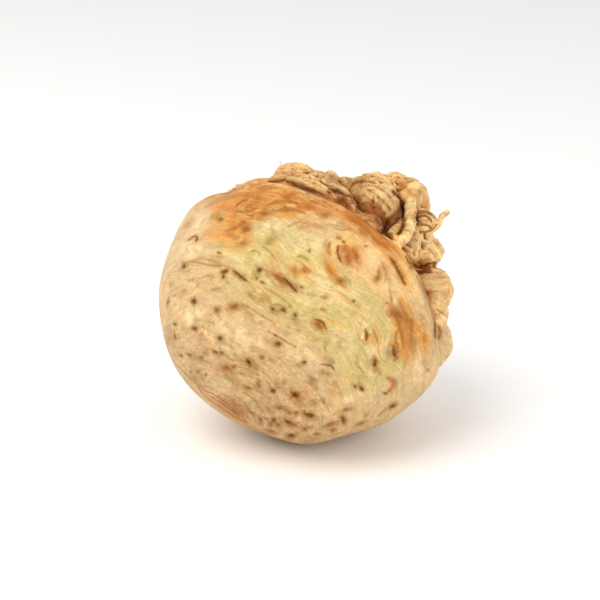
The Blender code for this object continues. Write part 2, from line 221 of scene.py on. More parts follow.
# Marks that the front shows, by kind: pixel, half length and half width in pixels, turn in degrees
SPOTS = {
    "pit": (
        (184, 266.5, 2.0, 1.7, 50), (224.5, 271.5, 3.4, 1.7, 35), (223, 276.5, 1.5, 2.0, 0),
        (259, 270, 1.8, 2.2, -40), (194, 301.5, 1.9, 2.6, 0), (272.7, 309.3, 1.8, 1.3, -20),
        (282.8, 309.8, 2.4, 1.4, -20), (194.7, 328.6, 2.5, 1.8, -20), (220, 338.5, 2.7, 2.3, -20),
        (278, 344, 3.0, 2.4, -10), (248.4, 362.2, 3.6, 2.0, -55), (273.3, 391, 2.1, 1.6, -30),
        (295, 395, 3.6, 2.8, -25), (273.7, 420.4, 1.9, 2.4, -30), (288, 422.5, 3.6, 1.4, -28),
        (291, 435.5, 3.4, 1.7, 10), (394.3, 352, 2.3, 5.0, 8), (375, 363, 1.7, 4.2, 5),
        (304, 362.4, 2.2, 1.6, 20), (361.8, 389, 3.0, 1.8, -50), (392.5, 406, 3.0, 1.6, 30),
        (343.4, 419.5, 1.8, 3.4, 15), (309.5, 415.8, 4.2, 2.1, -18), (329, 192.5, 2.2, 1.6, -20),
        (386, 230, 6, 3, 40),
    ),
    "dot": (
        (257, 278.5, 1.5, 1.6, 0), (262.5, 282.5, 2.4, 1.2, -30), (168, 302, 0.9, 3.4, -10),
        (175, 324, 1.7, 1.5, 0), (174.7, 336.5, 1.2, 2.2, 20), (295.5, 315.5, 1.4, 2.8, 10),
        (233, 366.8, 2.2, 1.3, -25), (215.5, 352, 3.4, 1.4, -30), (221.8, 353, 2.2, 1.4, -10),
        (190, 355, 2.6, 1.2, -25), (201.5, 358, 2.6, 1.3, -25), (181.3, 355.6, 1.4, 1.4, 0),
        (191, 372, 1.1, 1.1, 0), (197.7, 372, 1.2, 1.1, 0), (206, 375, 1.0, 1.0, 0),
        (355, 386.5, 1.2, 2.2, 40), (291.5, 436, 3.4, 1.6, -20), (428.2, 369.7, 1.2, 1.2, 0),
        (294.8, 315.5, 1.3, 2.6, 10), (366, 246, 1.3, 1.0, 0), (343.5, 241.5, 1.2, 1.2, 0),
        (309.5, 250.6, 1.3, 1.6, 0), (301.5, 287.6, 1.4, 1.0, 0), (354, 301, 1.1, 1.1, 0),
        (352, 201, 2.0, 1.2, -30), (357, 208, 1.6, 1.2, 0), (363, 205, 1.4, 1.8, 10),
        (369, 213, 2.2, 1.2, -40), (374, 208, 1.6, 1.1, 20), (377, 219, 1.8, 1.4, -30),
        (384, 215, 1.4, 1.6, 0), (366, 221, 1.6, 1.2, -20), (389, 208, 2.2, 1.0, -50),
    ),
    "brown": (
        (281, 279, 13, 3.6, -32), (221, 219, 2.5, 2, 30), (234, 228, 1.6, 1.6, 0), (246, 229, 5.5, 4, 20),
        (264, 213.5, 5.5, 3.4, 10), (217, 310, 2.8, 3, 0), (234, 307, 5.5, 3.4, 10),
        (262, 357.7, 2.3, 2.6, 0), (226.5, 368.2, 4.5, 3, -10), (248.4, 388, 3.6, 1.8, -15),
        (258.5, 384.5, 1.6, 3.2, 20), (279.8, 408.2, 3.6, 1.7, -20), (270.6, 424.2, 2.1, 2.4, 0),
        (278, 424.5, 3.4, 2.0, -20), (260.4, 420, 1.9, 3.6, 20), (289, 423, 6.5, 3.0, -28),
        (271, 431.5, 4.2, 1.8, -20), (296.5, 413.3, 2.8, 1.7, 0), (289, 412, 2.2, 1.4, -20),
        (252, 413, 4, 1.2, -38), (319, 325, 6.4, 3.6, -38), (346.5, 409.5, 5.4, 1.9, 12),
        (361, 423.5, 4.4, 1.6, 28), (330.5, 424.5, 6.0, 2.2, 20), (332.5, 430, 2.4, 1.8, 0),
        (305, 413, 3.5, 1.6, -40), (295.5, 395.5, 5.4, 3.6, -35), (290, 413.3, 2.0, 1.6, 0),
        (293, 424.5, 4.5, 2.2, -15), (304.7, 429, 2.6, 1.8, 0), (316.7, 434, 3.2, 1.2, 0),
        (398, 315, 8, 5, -35), (340, 281, 4.6, 2.4, -25), (377.5, 278.5, 3.4, 2.4, 40),
        (334, 180, 12, 3, -32), (340, 193, 8, 3, -30), (349.5, 206, 3, 2, -20), (358, 182.5, 9, 4, 25),
        (396, 222, 7, 3, 45), (380, 222, 10, 8, -30), (420, 268, 6, 3, -20),
    ),
    "stain": (
        (232, 235, 7, 3, -25), (243, 243, 5, 3, 20), (240, 225, 8, 2.2, 35), (265, 214, 6, 3.2, 8),
        (288, 197, 7, 3.5, 15), (300, 207.5, 6, 2.5, -10), (287, 210, 6, 2, 5), (261, 220, 4, 1.5, -10),
        (395, 313, 6.5, 6, -35), (395.5, 315.5, 4.5, 2.5, -40), (408, 321, 5, 3.5, -30),
        (401, 331, 2, 9, 20), (347, 258, 4.5, 8, 15), (344, 250, 4, 5, 20), (330, 270, 3, 8, 25),
        (305, 271, 4, 3, -20), (367, 228, 9, 12, 35), (366, 230, 4, 4, 0), (326, 216, 6, 8, 0),
        (309, 207, 8, 2, -10), (291, 195, 6, 2.6, 15), (356, 256, 4, 9, 10), (379, 272, 2, 6, -10),
        (368, 200, 6, 4, -30), (404, 187, 8, 3, -40),
    ),
    "smudge": (
        (189, 224, 8, 3, 40), (256, 274.5, 4.5, 5.5, 0), (271, 240, 5.5, 4, 10), (273, 230, 2, 5, 10),
        (222, 257, 7, 1.6, -5), (217, 217, 5, 3.5, 20), (196, 260.5, 5, 1.2, 10), (184, 291, 3, 1.6, 20),
        (217, 289, 5, 1.8, 5), (191, 280, 3, 1.5, 20), (243, 306, 5, 3, -20), (277, 311, 7, 3, -5),
        (209, 322, 3, 1.5, -15), (233, 331, 3, 4.5, 0), (249.5, 333.5, 2.2, 3, 0),
        (286, 334.5, 3.5, 3.5, 0), (205.5, 353, 3, 2.6, 0), (199, 359, 8, 1.8, -18),
        (390, 353, 6.5, 6.5, 0), (327.5, 373.5, 4, 2.5, -30), (388.5, 408, 4.5, 1.8, 28),
        (314.3, 402, 3.5, 3, 0), (312, 385, 5.5, 1.8, -35), (414, 344, 2.5, 8, -5),
        (424.3, 338, 1.5, 3.6, 0), (295, 272, 3, 5, 10), (325, 298, 3.4, 3, 0),
    ),
    "glow": (
        (293, 270, 6, 4.5, -20), (216, 208, 7, 9, 20), (236, 240, 14, 9, -20), (222, 236, 9, 7, 10),
        (214, 232, 12, 9, 20), (247, 236, 6, 5, 0), (226, 205, 14, 6, 25), (223, 405, 22, 4.5, -37),
        (332.5, 391, 3, 1.6, -15), (400, 327, 7, 11, 15), (405, 345, 4, 17, 10), (334, 270, 6, 10, 25),
        (301, 271, 9, 5, 5), (352, 254, 8, 12, 15),
    ),
    "blush": (
        (184, 293, 6, 3.5, 0), (203.5, 293, 3.5, 3, 0), (266, 295, 5, 4, 0), (210.5, 321.5, 6, 3.5, -15),
        (278, 344, 7.5, 6, -10), (224, 367, 7, 6, 0), (370, 365, 5, 4.5, 0), (304, 362.8, 5.5, 4, 0),
        (326.5, 371, 6, 5, -20), (421, 383.6, 6, 2.5, 25), (369, 262, 8, 7, 0), (303, 244, 8, 4, 0),
    ),
    # Pale patches, some of them painted highlights, as on the upper middle of the ball and the lobes' tops
    "cloud": (
        (198, 224, 7, 14, -20), (192, 250, 14, 7, -10), (176, 216, 8, 22, -25), (308, 243, 16, 9, -10),
        (235, 262, 12, 5, -25), (270, 226, 14, 7, 0), (236, 334, 26, 13, -15), (192, 316, 14, 10, 0),
        (300, 350, 26, 8, -35), (215, 392, 14, 9, -35), (345, 345, 14, 7, -50), (352, 400, 18, 7, 20),
        (422, 372, 8, 14, 10), (374, 258, 9, 8, 0), (392, 290, 5, 14, 15), (330, 222, 12, 4, -10),
        (384, 196, 10, 6, -40), (424, 242, 8, 7, 0), (436, 288, 8, 14, 15), (448, 330, 5, 12, 10),
    ),
    "haze": (
        (229, 208, 7, 3, -20), (223, 405, 20, 4, -37), (284, 173, 16, 6, 0),
    ),
    "gleam": (
        (362.5, 336.5, 1.7, 2.4, 0),
    ),
}

# Lines that the front shows, by kind: half width in pixels, and the pixels that they run through
STROKES = {
    "stain": (
        (6.0, ((344, 211), (355, 219), (367, 229), (378, 239), (388, 249))),
    ),
    "haze": (
        (3.0, ((205, 207), (222, 199), (240, 195), (262, 193), (282, 194))),
        (1.6, ((186, 263), (198, 258), (210, 260), (220, 265), (232, 268), (246, 280), (256, 292))),
        (3.4, ((326, 240), (324, 252), (327, 264), (335, 276), (345, 287))),
        (3.0, ((300, 228), (315, 226), (330, 224), (345, 226), (356, 232))),
        (3.0, ((378, 255), (385, 268), (390, 282), (396, 296))),
        (4.0, ((400, 300), (405, 320), (408, 345), (404, 368))),
        (5.5, ((338, 208), (350, 217), (364, 228), (378, 240), (390, 254), (400, 272))),
        (3.5, ((285, 194), (302, 200), (318, 208), (334, 216))),
    ),
    "crack": (
        (0.9, ((188, 240.3), (194.5, 235.7), (197, 238.8), (195.5, 241))),
        (1.3, ((233, 270.4), (238, 274.5), (245.8, 280.8))),
        (1.3, ((283, 277), (289, 283.7), (297, 292.5))),
        (0.6, ((217, 252), (221.8, 253.4))),
        (1.2, ((268, 181), (275, 181), (282, 180.6), (285.5, 177.6))),
        (2.0, ((286, 181), (293, 184), (301, 186.5), (313, 190.5), (325, 194.5))),
        (0.4, ((202, 389), (214, 395), (227, 404), (239, 415))),
        (0.5, ((207, 394), (219, 401.5), (231, 410), (240, 417))),
        (0.55, ((268, 331), (274, 334.7), (283, 339.8), (295.5, 347.6))),
        (0.9, ((314.5, 319.4), (321.5, 321.6), (326.5, 329.7))),
        (0.9, ((364.6, 329), (367, 334), (366.3, 340.6))),
        (0.6, ((320.3, 364.2), (331, 366), (334.3, 370.5))),
        (0.8, ((383.3, 393.3), (387.5, 393.5))),
        (1.0, ((338, 245), (338, 253), (341.4, 262))),
        (1.3, ((390, 257), (395.5, 265), (400.4, 274), (405.3, 285))),
        (1.5, ((329, 188.2), (338.5, 192), (347, 195.5), (356, 199))),
        (1.4, ((393, 190), (396.7, 195), (401, 201), (402.8, 208), (401.8, 219))),
        (1.6, ((402.7, 218), (402.8, 227), (398, 235))),
        (1.5, ((382, 233.6), (386, 230), (394, 223), (399.5, 218))),
        (1.2, ((416, 266.5), (424.5, 267), (429.5, 263.5), (436, 262.5))),
        (1.0, ((435.3, 322), (435.6, 330), (435.5, 339))),
        (1.2, ((415.5, 212), (416.5, 218), (417.5, 224))),
    ),
    "line": (
        (0.8, ((248, 254), (254, 250.5), (259.5, 253.5), (258.5, 257))),
        (0.8, ((181, 264), (191, 262), (201, 263), (211, 265.5), (222, 266))),
        (0.7, ((200, 278.6), (207.3, 275.5), (215.5, 277.6))),
        (0.8, ((288, 227), (294, 223.5), (302, 221.5))),
        (0.8, ((262, 246), (270, 252), (277, 261))),
        (0.7, ((300, 226), (306, 222.5), (311, 223))),
        (0.8, ((265, 288), (280, 297), (292, 306))),
        (0.8, ((267.6, 308), (274.7, 304.6), (283, 306), (286, 310))),
        (0.8, ((176, 364), (186, 374), (196, 383), (208, 387), (222, 394), (236, 405), (249, 419))),
        (0.7, ((236, 396), (246, 405), (254, 417), (257, 425))),
        (0.6, ((244, 392), (255, 401), (264, 412))),
        (0.8, ((242, 304), (250, 308), (262, 316), (276, 324))),
        (0.6, ((265.5, 395), (271.6, 402))),
        (0.6, ((262, 404), (267, 408), (272, 412), (275, 418))),
        (0.8, ((372.4, 328.5), (375.5, 335), (377.5, 343))),
        (0.8, ((377, 367.5), (381.5, 375))),
        (0.6, ((355.5, 355), (359, 360))),
        (0.6, ((354.8, 362.4), (360.3, 369), (364, 373))),
        (0.8, ((387, 408), (377.3, 416.5))),
        (0.9, ((296, 257), (303, 256), (308.5, 261))),
        (0.8, ((332.4, 227.6), (342, 230), (352, 228.8))),
        (0.9, ((342, 273.6), (348, 279), (351, 285))),
        (0.9, ((382, 263), (386, 274), (385, 283))),
        (0.9, ((436.5, 309), (442, 313), (447.5, 317))),
    ),
    "scar": (
        (0.9, ((237, 211.4), (248, 211.2), (257.5, 207.5))),
        (0.8, ((235, 207), (242, 201), (249, 199.5))),
        (1.2, ((276, 211), (284, 208.5), (294, 209), (305, 213))),
        (1.0, ((268, 205), (278, 201), (290, 201.5), (304, 204))),
        (0.7, ((198, 386), (210, 390), (225, 400), (238, 411), (247, 422))),
        (0.7, ((198, 386), (203, 394), (216, 404), (232, 415), (247, 423))),
        (1.8, ((387, 377.6), (393.6, 382), (393, 387), (388.5, 391.5))),
        (0.8, ((320.3, 308.8), (326.5, 310))),
        (1.6, ((330.5, 242), (327.8, 249), (330.4, 255.5))),
        (1.0, ((336, 237.3), (342.5, 238.5))),
        (1.3, ((343, 244), (348.5, 250.6), (350.6, 260.5), (347, 265))),
        (1.2, ((386, 303), (391.8, 305), (396, 311), (402, 317))),
        (1.0, ((389, 285), (391, 294), (392, 303))),
        (1.7, ((393, 304), (392, 312), (398, 322), (402, 335), (404, 348))),
        (1.3, ((404, 312), (410, 321), (412, 335), (411, 347))),
        (0.9, ((397, 330), (396, 340), (399, 352))),
        (1.2, ((340, 201), (349, 207), (358, 213))),
        (1.0, ((372.5, 185), (382, 190), (390.6, 197.5), (396, 206))),
        (1.0, ((367, 189), (376, 195), (385, 203), (391, 211))),
        (0.9, ((362, 194), (371, 201), (379, 209), (386, 216))),
        (1.0, ((417, 276), (422, 286), (428, 299), (433, 314), (435.5, 329))),
        (1.6, ((438, 326), (440.5, 332), (438.5, 339))),
    ),
    "welt": (
        (1.4, ((255, 187), (268, 184), (282, 185.5), (298, 190), (314, 196), (330, 203), (345, 211))),
        (1.0, ((318, 180), (330, 184), (342, 190), (352, 196), (362, 203))),
        (1.0, ((370, 187), (379, 192.5), (388, 200), (393.5, 208))),
        (1.0, ((365, 192), (374, 198.5), (382, 206), (388.5, 213.5))),
    ),
    # Brown along the folds that the front shows, with painted shade in them
    "earth": (
        (8.0, ((350, 197), (362, 204), (374, 213), (386, 225))),
        (3.0, ((300, 188.5), (316, 193.5), (332, 199), (346, 205))),
        (3.0, ((406, 256), (413, 263), (422, 268), (432, 266))),
    ),
}

STROKE_STEP = 1.5  # pixels
STROKE_TAPER = 0.65

# How the folds that get painted shade are found: by rays that the skin round a place stops
SHELTER_RAYS = 14
SHELTER_REACH = 14 * MM
SHELTER_START = 0.6 * MM
SHELTER_SMOOTHING = 3  # rounds
ROOT_END_MARGIN = 5  # degrees below the rim

# Painted shade in the root end's folds, and painted highlight where it stands out: from and to which shelter,
# or depth in mm, and how strong it gets there
KNOTTY_EDGE = (-4, 3)  # degrees above the rim
FINE_HOLLOWS = 8  # rounds of smoothing that a hollow is measured against
BROAD_HOLLOWS = 40
CREVICE_SHADE_SHELTER = (0.38, 0.85)
CREVICE_SHADE_DEPTH = (0.04, 0.4)
RUST_SHADE_SHELTER = (0.22, 0.55)
RUST_SHADE_SHELTER_STRENGTH = 0.75
RUST_SHADE_DEPTH = (0.2, 1.1)
RUST_SHADE_DEPTH_STRENGTH = 0.6
HIGHLIGHT_HEIGHT = (0.2, 1.2)
HIGHLIGHT_STRENGTH = 0.4

# How the streaks are warped: height in degrees, frequency and seed
STREAK_WARPS = ((5, 2.2, 3), (1.6, 6, 5))
STREAK_DRIFT = (4, 3, 7)

# Where the streaks of the skin bend round a scar: pixel and reach in pixels
EYES = (
    (340, 254, 19),
    (254, 254, 10),
    (278, 308, 13),
    (320, 324, 13),
    (366, 335, 10),
    (392, 352, 14),
    (374, 364, 9),
    (362, 389, 10),
    (390, 384, 10),
    (278, 344, 12),
    (194, 238, 11),
)

EYE_BORDER = (0.25, 1.15)  # from which share of the reach the bend fades, and where it is gone
EYE_HEART = 0.3
EYE_RISE = 0.38  # degrees to the pixel

# Latitude of the lower border of the amber part, by longitude
AMBER_BORDER = (
    (-180, -1), (-130, 2), (-95, 3), (-72, 3), (-64, -1), (-60, -9), (-52, -11), (-46, -18), (-40, -15),
    (-35, -6), (-29, -1), (-20, 3), (-10, 7), (0, 10), (12, 9), (22, 6), (29, 0), (36, -8), (46, -12),
    (62, -13), (80, -9), (110, -5), (150, -6), (180, -1),
)

# How ragged the borders between the parts are: height in degrees, frequency and seed
RAGGED_BORDER = ((3.5, (9, 9, 16), 11), (2, (22, 22, 40), 13))

# Where each large part of the skin's colour begins, is full, starts to fade and is gone, in degrees
AMBER_EDGE = (-8, 8)
AMBER_GAP_LATITUDES = (0, 7)  # above them and past these longitudes the rim is paler, up to the right side
AMBER_GAP_LONGITUDES = (10, 28)
AMBER_GAP_SHARE = 0.75
RIGHT_LONGITUDES = (44, 62, 95, 120)
ROOT_END_EDGE = (1, 7)  # above the rim
SMOOTH_LOBE_LONGITUDES = (62, 74, 98, 112)
SMOOTH_LOBE_TOP = (25, 33)
SMOOTH_LOBE_SHARE = 0.85
GREEN_LONGITUDES = (-80, -18, 42, 66)
GREEN_LATITUDES = (-50, -22, -12, 8)
GREEN_PATCHES = (-0.1, 0.35, 0.55)  # round the sides: from and to which noise, and how strong
GREEN_SIDES_FROM = 62
CREAM_LONGITUDES = (-14, 2, 26, 42)
CREAM_LATITUDES = (-12, 0)
CROWN_EDGE = (-84, -74)
LEFT_CROWN_EDGE = (-78, -70)
LEFT_CROWN_LONGITUDES = (-150, -125, -75, -50)
SPECKLED_EDGE = (-50, -22)

# The fine relief: height in mm of the streaks, and of the root end's swell, streaks, folds, knobs and creases
STREAK_HEIGHT = 0.07
ROOT_END_RELIEF = (0.6, 0.25, -1.8, 0.15, -0.2)
CROWN_RING_PHASE = 130  # radians of the wave to one radian of latitude, which holds about 21 rings
CROWN_RING_HEIGHT = 0.12
CROWN_RING_SWAY = 3  # radians of the wave
AMBER_SWELL = 0.25
FEWER_FOLDS = ((44, 60, 100, 120, 0.65), (-76, -66, -46, -36, 0.7))  # longitudes, and the share taken off

# Marks scattered by rule, mostly on the sides that the front doesn't show. On the side that it shows there
# are only faint ones, in the part towards the crown
SCATTER_COUNT = 1300
SCATTER_SHARES = {"pit": 1, "dot": 2, "brown": 2, "line": 1, "fleck": 7, "blush": 3, "smudge": 2}
FAINT_KINDS = ("fleck", "blush", "smudge")
SCATTER_LATITUDES = (-84, 8)
FAINT_LATITUDE = -24  # where they end on the side that the front shows
SCATTER_SIZE = (0.45, 1.5)  # mm
SCATTER_STRETCH = {"smudge": 1.6, "blush": 2.2, "line": 2.6}
SCATTER_WIDTH = (0.45, 1)  # shares of the length
LINE_WIDTH = 0.2
RIM_MARGIN = 2  # degrees below the rim that stay bare
SCATTER_TURN = 25  # degrees off the grain
SCATTER_JITTER = 6  # degrees
SCATTER_SEED = 21

JOIN_SMOOTHING = 4  # rounds, over the joins of the forms

# From which strength of a mark the mesh stays as fine as it was shaped, also where the front doesn't show it
KEPT_FROM = 0.35

# Rootlets that the front shows: radius in mm, height above the skin in mm, and the pixels they run through
SEEN_ROOTLETS = (
    (0.16, 0.2, ((345, 186), (347, 184), (350, 180.5), (353, 178.5))),
    (0.75, 0.3, ((417, 213), (423, 211.5), (430, 213), (434, 218))),
    (0.7, 0.3, ((418, 217), (424, 215), (429, 217.5), (432, 222))),
    (0.75, 0.3, ((417, 224), (423, 224.5), (429, 226), (433, 230))),
    (0.6, 0.3, ((420, 232), (427, 231.5), (433, 229), (437, 224))),
    (0.35, 0.2, ((352, 186), (358, 188), (365, 189))),
    (0.3, 0.2, ((346, 205), (352, 203), (358, 205))),
    (0.4, 0.2, ((365, 202), (371, 203.5), (376, 207))),
    (0.3, 0.2, ((408, 262), (414, 262), (420, 266))),
    (0.3, 0.2, ((410, 266), (416, 269), (423, 270))),
)
ROOTLET_COUNT = 90
ROOTLET_LONGITUDES = (65, 290)
ROOTLET_RADIUS = (0.14, 0.42)  # mm
ROOTLET_LENGTH = (5, 13)  # mm
ROOTLET_FOOT = 57 * MM  # they grow from the folds that lie nearer to the ball's centre
ROOTLET_LEAP = 4 * MM  # no rootlet follows the skin where it drops by more from one point to the next
ROOTLET_LATITUDES = (RIM_LATITUDE + 14, 88)
ROOTLET_JITTER = 8  # degrees
ROOTLET_POINTS = 9
ROOTLET_RAY_START = 1.5  # ball radii from the centre, where the search for the skin under a rootlet begins
ROOTLET_LIFT = 0.25  # of its length, at the tip
ROOTLET_SUNK = 0.2  # of its radius, how high its middle lies over the skin
ROOTLET_BEND = 4 * MM
ROOTLET_WAVES = 1.5
ROOTLET_TAPER = 0.7
SEEN_TAPER = 0.5
ROOTLET_STEP = 0.8 * MM
ROOTLET_KNOTS = 0.2
ROOTLET_SIDES = 6
ROOTLET_SEED = 8

# The lamps: name, size in metres and place
LAMPS = (
    ("key", 0.9, (-0.5, -0.55, 1.05)),
    ("fill", 0.8, (0.9, -0.6, 0.5)),
    ("rim", 0.8, (-1.0, 0.35, 0.3)),
)
SENSOR_WIDTH = 36  # mm


def linear(hex_colour):
    """An sRGB hex colour as the linear colour that a shader takes."""
    values = [int(hex_colour[place:place + 2], 16) / 255 for place in (1, 3, 5)]
    return (*[v / 12.92 if v <= 0.04045 else ((v + 0.055) / 1.055) ** 2.4 for v in values], 1)


def colour_setting(name, description, hex_colour):
    return bpy.props.FloatVectorProperty(
        name=name, description=description, default=linear(hex_colour), size=4, subtype="COLOR", min=0, max=1
    )


class CeleriacSkinSettings(bpy.types.PropertyGroup):
    """Sizes and colours of the skin."""

    grain: bpy.props.FloatProperty(
        name="Grain", description="Cell size of the skin's mesh while it is shaped",
        default=0.63 * MM, min=0.3 * MM, max=2 * MM, unit="LENGTH", precision=5,
    )
    triangles: bpy.props.IntProperty(
        name="Triangles", description="Triangles of the finished skin", default=197000, min=10000, max=199000
    )
    relief: bpy.props.FloatProperty(
        name="Relief", description="Depth of the pits, wrinkles and folds, 1 for as grown",
        default=1.0, min=0.0, max=2.0, subtype="FACTOR",
    )
    beige: colour_setting("Beige", "Skin near the crown", "#d1b07e")
    green: colour_setting("Pale green", "Skin of the middle band", "#cbb571")
    cream: colour_setting("Cream", "Pale skin below the rim", "#e3b877")
    amber: colour_setting("Amber", "Scrubbed skin along the rim", "#db9540")
    tan: colour_setting("Tan", "Skin of the root end", "#f9d08a")
    # This colour also paints shade, in reddish brown, in and round the folds of the root end
    rust: colour_setting("Rust", "Scars and stains", "#a85d10")
    olive: colour_setting("Olive brown", "Haze round the pits", "#9c7029")
    pink: colour_setting("Pink", "Blush of the healed skin", "#c8935f")
    # This colour also paints highlights: on the tops of the root end's lobes and in some bright patches of
    # the ball
    pale: colour_setting("Pale", "Raised edges", "#f8dfa9")
    # Painted shade: this colour darkens the folds of the root end where the skin round them shuts off the
    # sky; it also draws the dark lines there
    crevice: colour_setting("Crevice", "Painted shade in the folds, and dark lines of the root end", "#7a3a04")
    dark: colour_setting("Dark", "Bottoms of pits and cracks", "#583000")


class CeleriacStageSettings(bpy.types.PropertyGroup):
    """The studio."""

    floor_size: bpy.props.FloatProperty(
        name="Floor size", description="Side of the square floor", default=6.0, min=1.0, unit="LENGTH"
    )
    floor_colour: colour_setting("Floor", "Plain pale floor", "#fcfbf9")
    key_power: bpy.props.FloatProperty(
        name="Key light", description="Power of the large lamp at the upper left", default=8.9, min=0.0,
        unit="POWER",
    )
    fill_power: bpy.props.FloatProperty(
        name="Fill light", description="Power of the lamp at the right", default=4.8, min=0.0, unit="POWER"
    )
    rim_power: bpy.props.FloatProperty(
        name="Rim light", description="Power of the lamp behind at the left", default=3.0, min=0.0,
        unit="POWER",
    )
    sky_strength: bpy.props.FloatProperty(
        name="Sky", description="Strength of the white surroundings", default=0.69, min=0.0
    )


def rise(start, end, values):
    """0 before start and 1 past end, with a smooth rise between."""
    share = np.clip((values - start) / (end - start), 0, 1)
    return share * share * (3 - 2 * share)


def belt(start, full, fading, end, values):
    """0 outside start and end, 1 between full and fading, with smooth slopes."""
    return rise(start, full, values) * (1 - rise(fading, end, values))


def toward(longitude, latitude):
    """The unit vector from the ball's centre to a place on it."""
    across = math.cos(math.radians(latitude))
    return Vector((
        across * math.cos(math.radians(longitude)),
        across * math.sin(math.radians(longitude)),
        math.sin(math.radians(latitude)),
    ))


def noise_at(places, seed=0.0):
    """Smooth noise from -1 to 1 at each place, another one for each seed."""
    shifted = places + np.array((seed, 2.3 * seed, -1.7 * seed))
    return np.array([noise.noise(place) for place in shifted.tolist()])


def longitudes_of(points):
    return np.degrees(np.arctan2(points[:, 1], points[:, 0]))


def latitudes_of(points):
    return np.degrees(np.arctan2(points[:, 2], np.hypot(points[:, 0], points[:, 1])))


def rim_latitude(longitude):
    return RIM_LATITUDE + RIM_TILT * np.cos(np.radians(longitude - RIM_HIGH_SIDE))


def ball_reach(directions):
    """How far the ball's skin lies from its centre in each direction."""
    latitude = latitudes_of(directions)
    longitude = longitudes_of(directions)
    past_rim = latitude - rim_latitude(longitude)
    low_side = (1 - np.cos(np.radians(longitude - RIM_HIGH_SIDE))) / 2
    recess_width = RECESS_WIDTH + RECESS_EASE * low_side ** 2
    share = 1 - CROWN_FLATTENING * (1 - rise(CROWN_SHOULDER[1], CROWN_SHOULDER[0], latitude))
    share *= 1 - ROOT_RECESS * rise(0, recess_width, past_rim)
    share *= 1 + RIM_LIP * np.exp(-((past_rim / RIM_LIP_WIDTH) ** 2))
    reach = BODY_RADIUS * share
    reach += WAVE_HEIGHT * noise_at(directions * WAVE_FREQUENCY)
    reach += BUMP_HEIGHT * noise_at(directions * BUMP_FREQUENCY) * rise(*BUMPY_FROM, latitude)
    for lon, lat, width, height in SWELLINGS:
        away = np.degrees(np.arccos(np.clip(directions @ np.array(toward(lon, lat)), -1, 1)))
        reach += height * MM * np.exp(-((away / width) ** 2))
    return reach


def round_form(subdivisions):
    """The corners, as an array, and the triangles of a unit ball."""
    shape = bmesh.new()
    bmesh.ops.create_icosphere(shape, subdivisions=subdivisions, radius=1)
    corners = np.array([vertex.co for vertex in shape.verts])
    faces = [[vertex.index for vertex in face.verts] for face in shape.faces]
    shape.free()
    return corners / np.linalg.norm(corners, axis=1)[:, None], faces


def lobe_form(lobe, unit, faces):
    """A knuckle: an uneven egg with shallow folds that run outwards."""
    longitude, latitude, distance, east, north, outward, turn = lobe
    out = toward(longitude, latitude)
    to_east = Vector((0, 0, 1)).cross(out).normalized()
    axes = Matrix((to_east, out.cross(to_east), out)).transposed()
    axes = axes @ Matrix.Rotation(math.radians(turn), 3, "Z")
    apart = np.array(out * LOBE_APARTNESS)
    uneven = LOBE_UNEVENNESS * noise_at(unit * LOBE_FREQUENCY + apart)
    folds = LOBE_FOLDS * abs(noise_at(unit * (1, 1, 0.3) * FOLD_FREQUENCY + apart))
    local = unit * (1 + uneven - folds)[:, None] * np.array((east, north, outward)) * MM
    return np.array(out * distance * MM) + local @ np.array(axes).T, faces


def smooth_path(points, step):
    """Points every step or so along a smooth curve through the given ones."""
    ends = [points[0] * 2 - points[1], *points, points[-1] * 2 - points[-2]]
    path = []
    for before, start, end, after in zip(ends, ends[1:], ends[2:], ends[3:]):
        pieces = max(1, round((end - start).length / step))
        for piece in range(pieces):
            t = piece / pieces
            path.append(0.5 * (
                2 * start
                + (end - before) * t
                + (2 * before - 5 * start + 4 * end - after) * t ** 2
                + (3 * start - before - 3 * end + after) * t ** 3
            ))
    path.append(points[-1])
    return path


def tube_form(path, radii, sides, knots):
    """A knotty tube along a path, with its ends closed: corners and faces."""
    corners = []
    side = path[0].orthogonal()
    for index, centre in enumerate(path):
        ahead = (path[min(index + 1, len(path) - 1)] - path[max(index - 1, 0)]).normalized()
        side = (side - ahead * side.dot(ahead)).normalized()
        up = ahead.cross(side)
        for corner in range(sides):
            angle = 2 * math.pi * corner / sides
            outward = side * math.cos(angle) + up * math.sin(angle)
            knot = 1 + knots * noise.noise(centre * KNOT_FREQUENCY + outward)
            corners.append(centre + outward * radii[index] * knot)
    last = len(corners) - sides
    faces = [list(reversed(range(sides))), list(range(last, len(corners)))]
    for ring in range(len(path) - 1):
        for corner in range(sides):
            low, high = ring * sides + corner, ring * sides + (corner + 1) % sides
            faces.append([low, high, high + sides, low + sides])
    return np.array(corners), faces


def root_form(points, first_radius, last_radius):
    path = smooth_path(points, ROOT_STEP)
    radii = np.linspace(first_radius, last_radius, len(path))
    return tube_form(path, radii, ROOT_SIDES, ROOT_KNOTS)


def spread_places(count, longitudes, latitudes):
    """Places spread evenly over a belt of the ball, in a spiral."""
    low, high = [math.sin(math.radians(latitude)) for latitude in latitudes]
    for number in range(count):
        around = (number * GOLDEN_SHARE) % 1
        height = low + (high - low) * (number + 0.5) / count
        longitude = longitudes[0] + (longitudes[1] - longitudes[0]) * around
        yield longitude, math.degrees(math.asin(height))


def filling_lobes():
    """Lobes for the part of the root end that the list leaves bare."""
    draw = random.Random(FILL_SEED)
    taken = [toward(lobe[0], lobe[1]) * lobe[2] * MM for lobe in LOBES]
    for longitude, latitude in spread_places(FILL_COUNT, (0, 360), (RIM_LATITUDE, 90)):
        longitude += draw.uniform(-FILL_JITTER, FILL_JITTER)
        distance = draw.uniform(*FILL_DISTANCE)
        sizes = [draw.uniform(*FILL_SIZE) / MM for _ in range(3)]
        turn = draw.uniform(0, 180)
        centre = toward(longitude, latitude) * distance
        above_rim = latitude - rim_latitude(longitude)
        if above_rim > FILL_ABOVE_RIM and all((centre - other).length > FILL_APART for other in taken):
            yield (longitude, latitude, distance / MM, *sizes, turn)


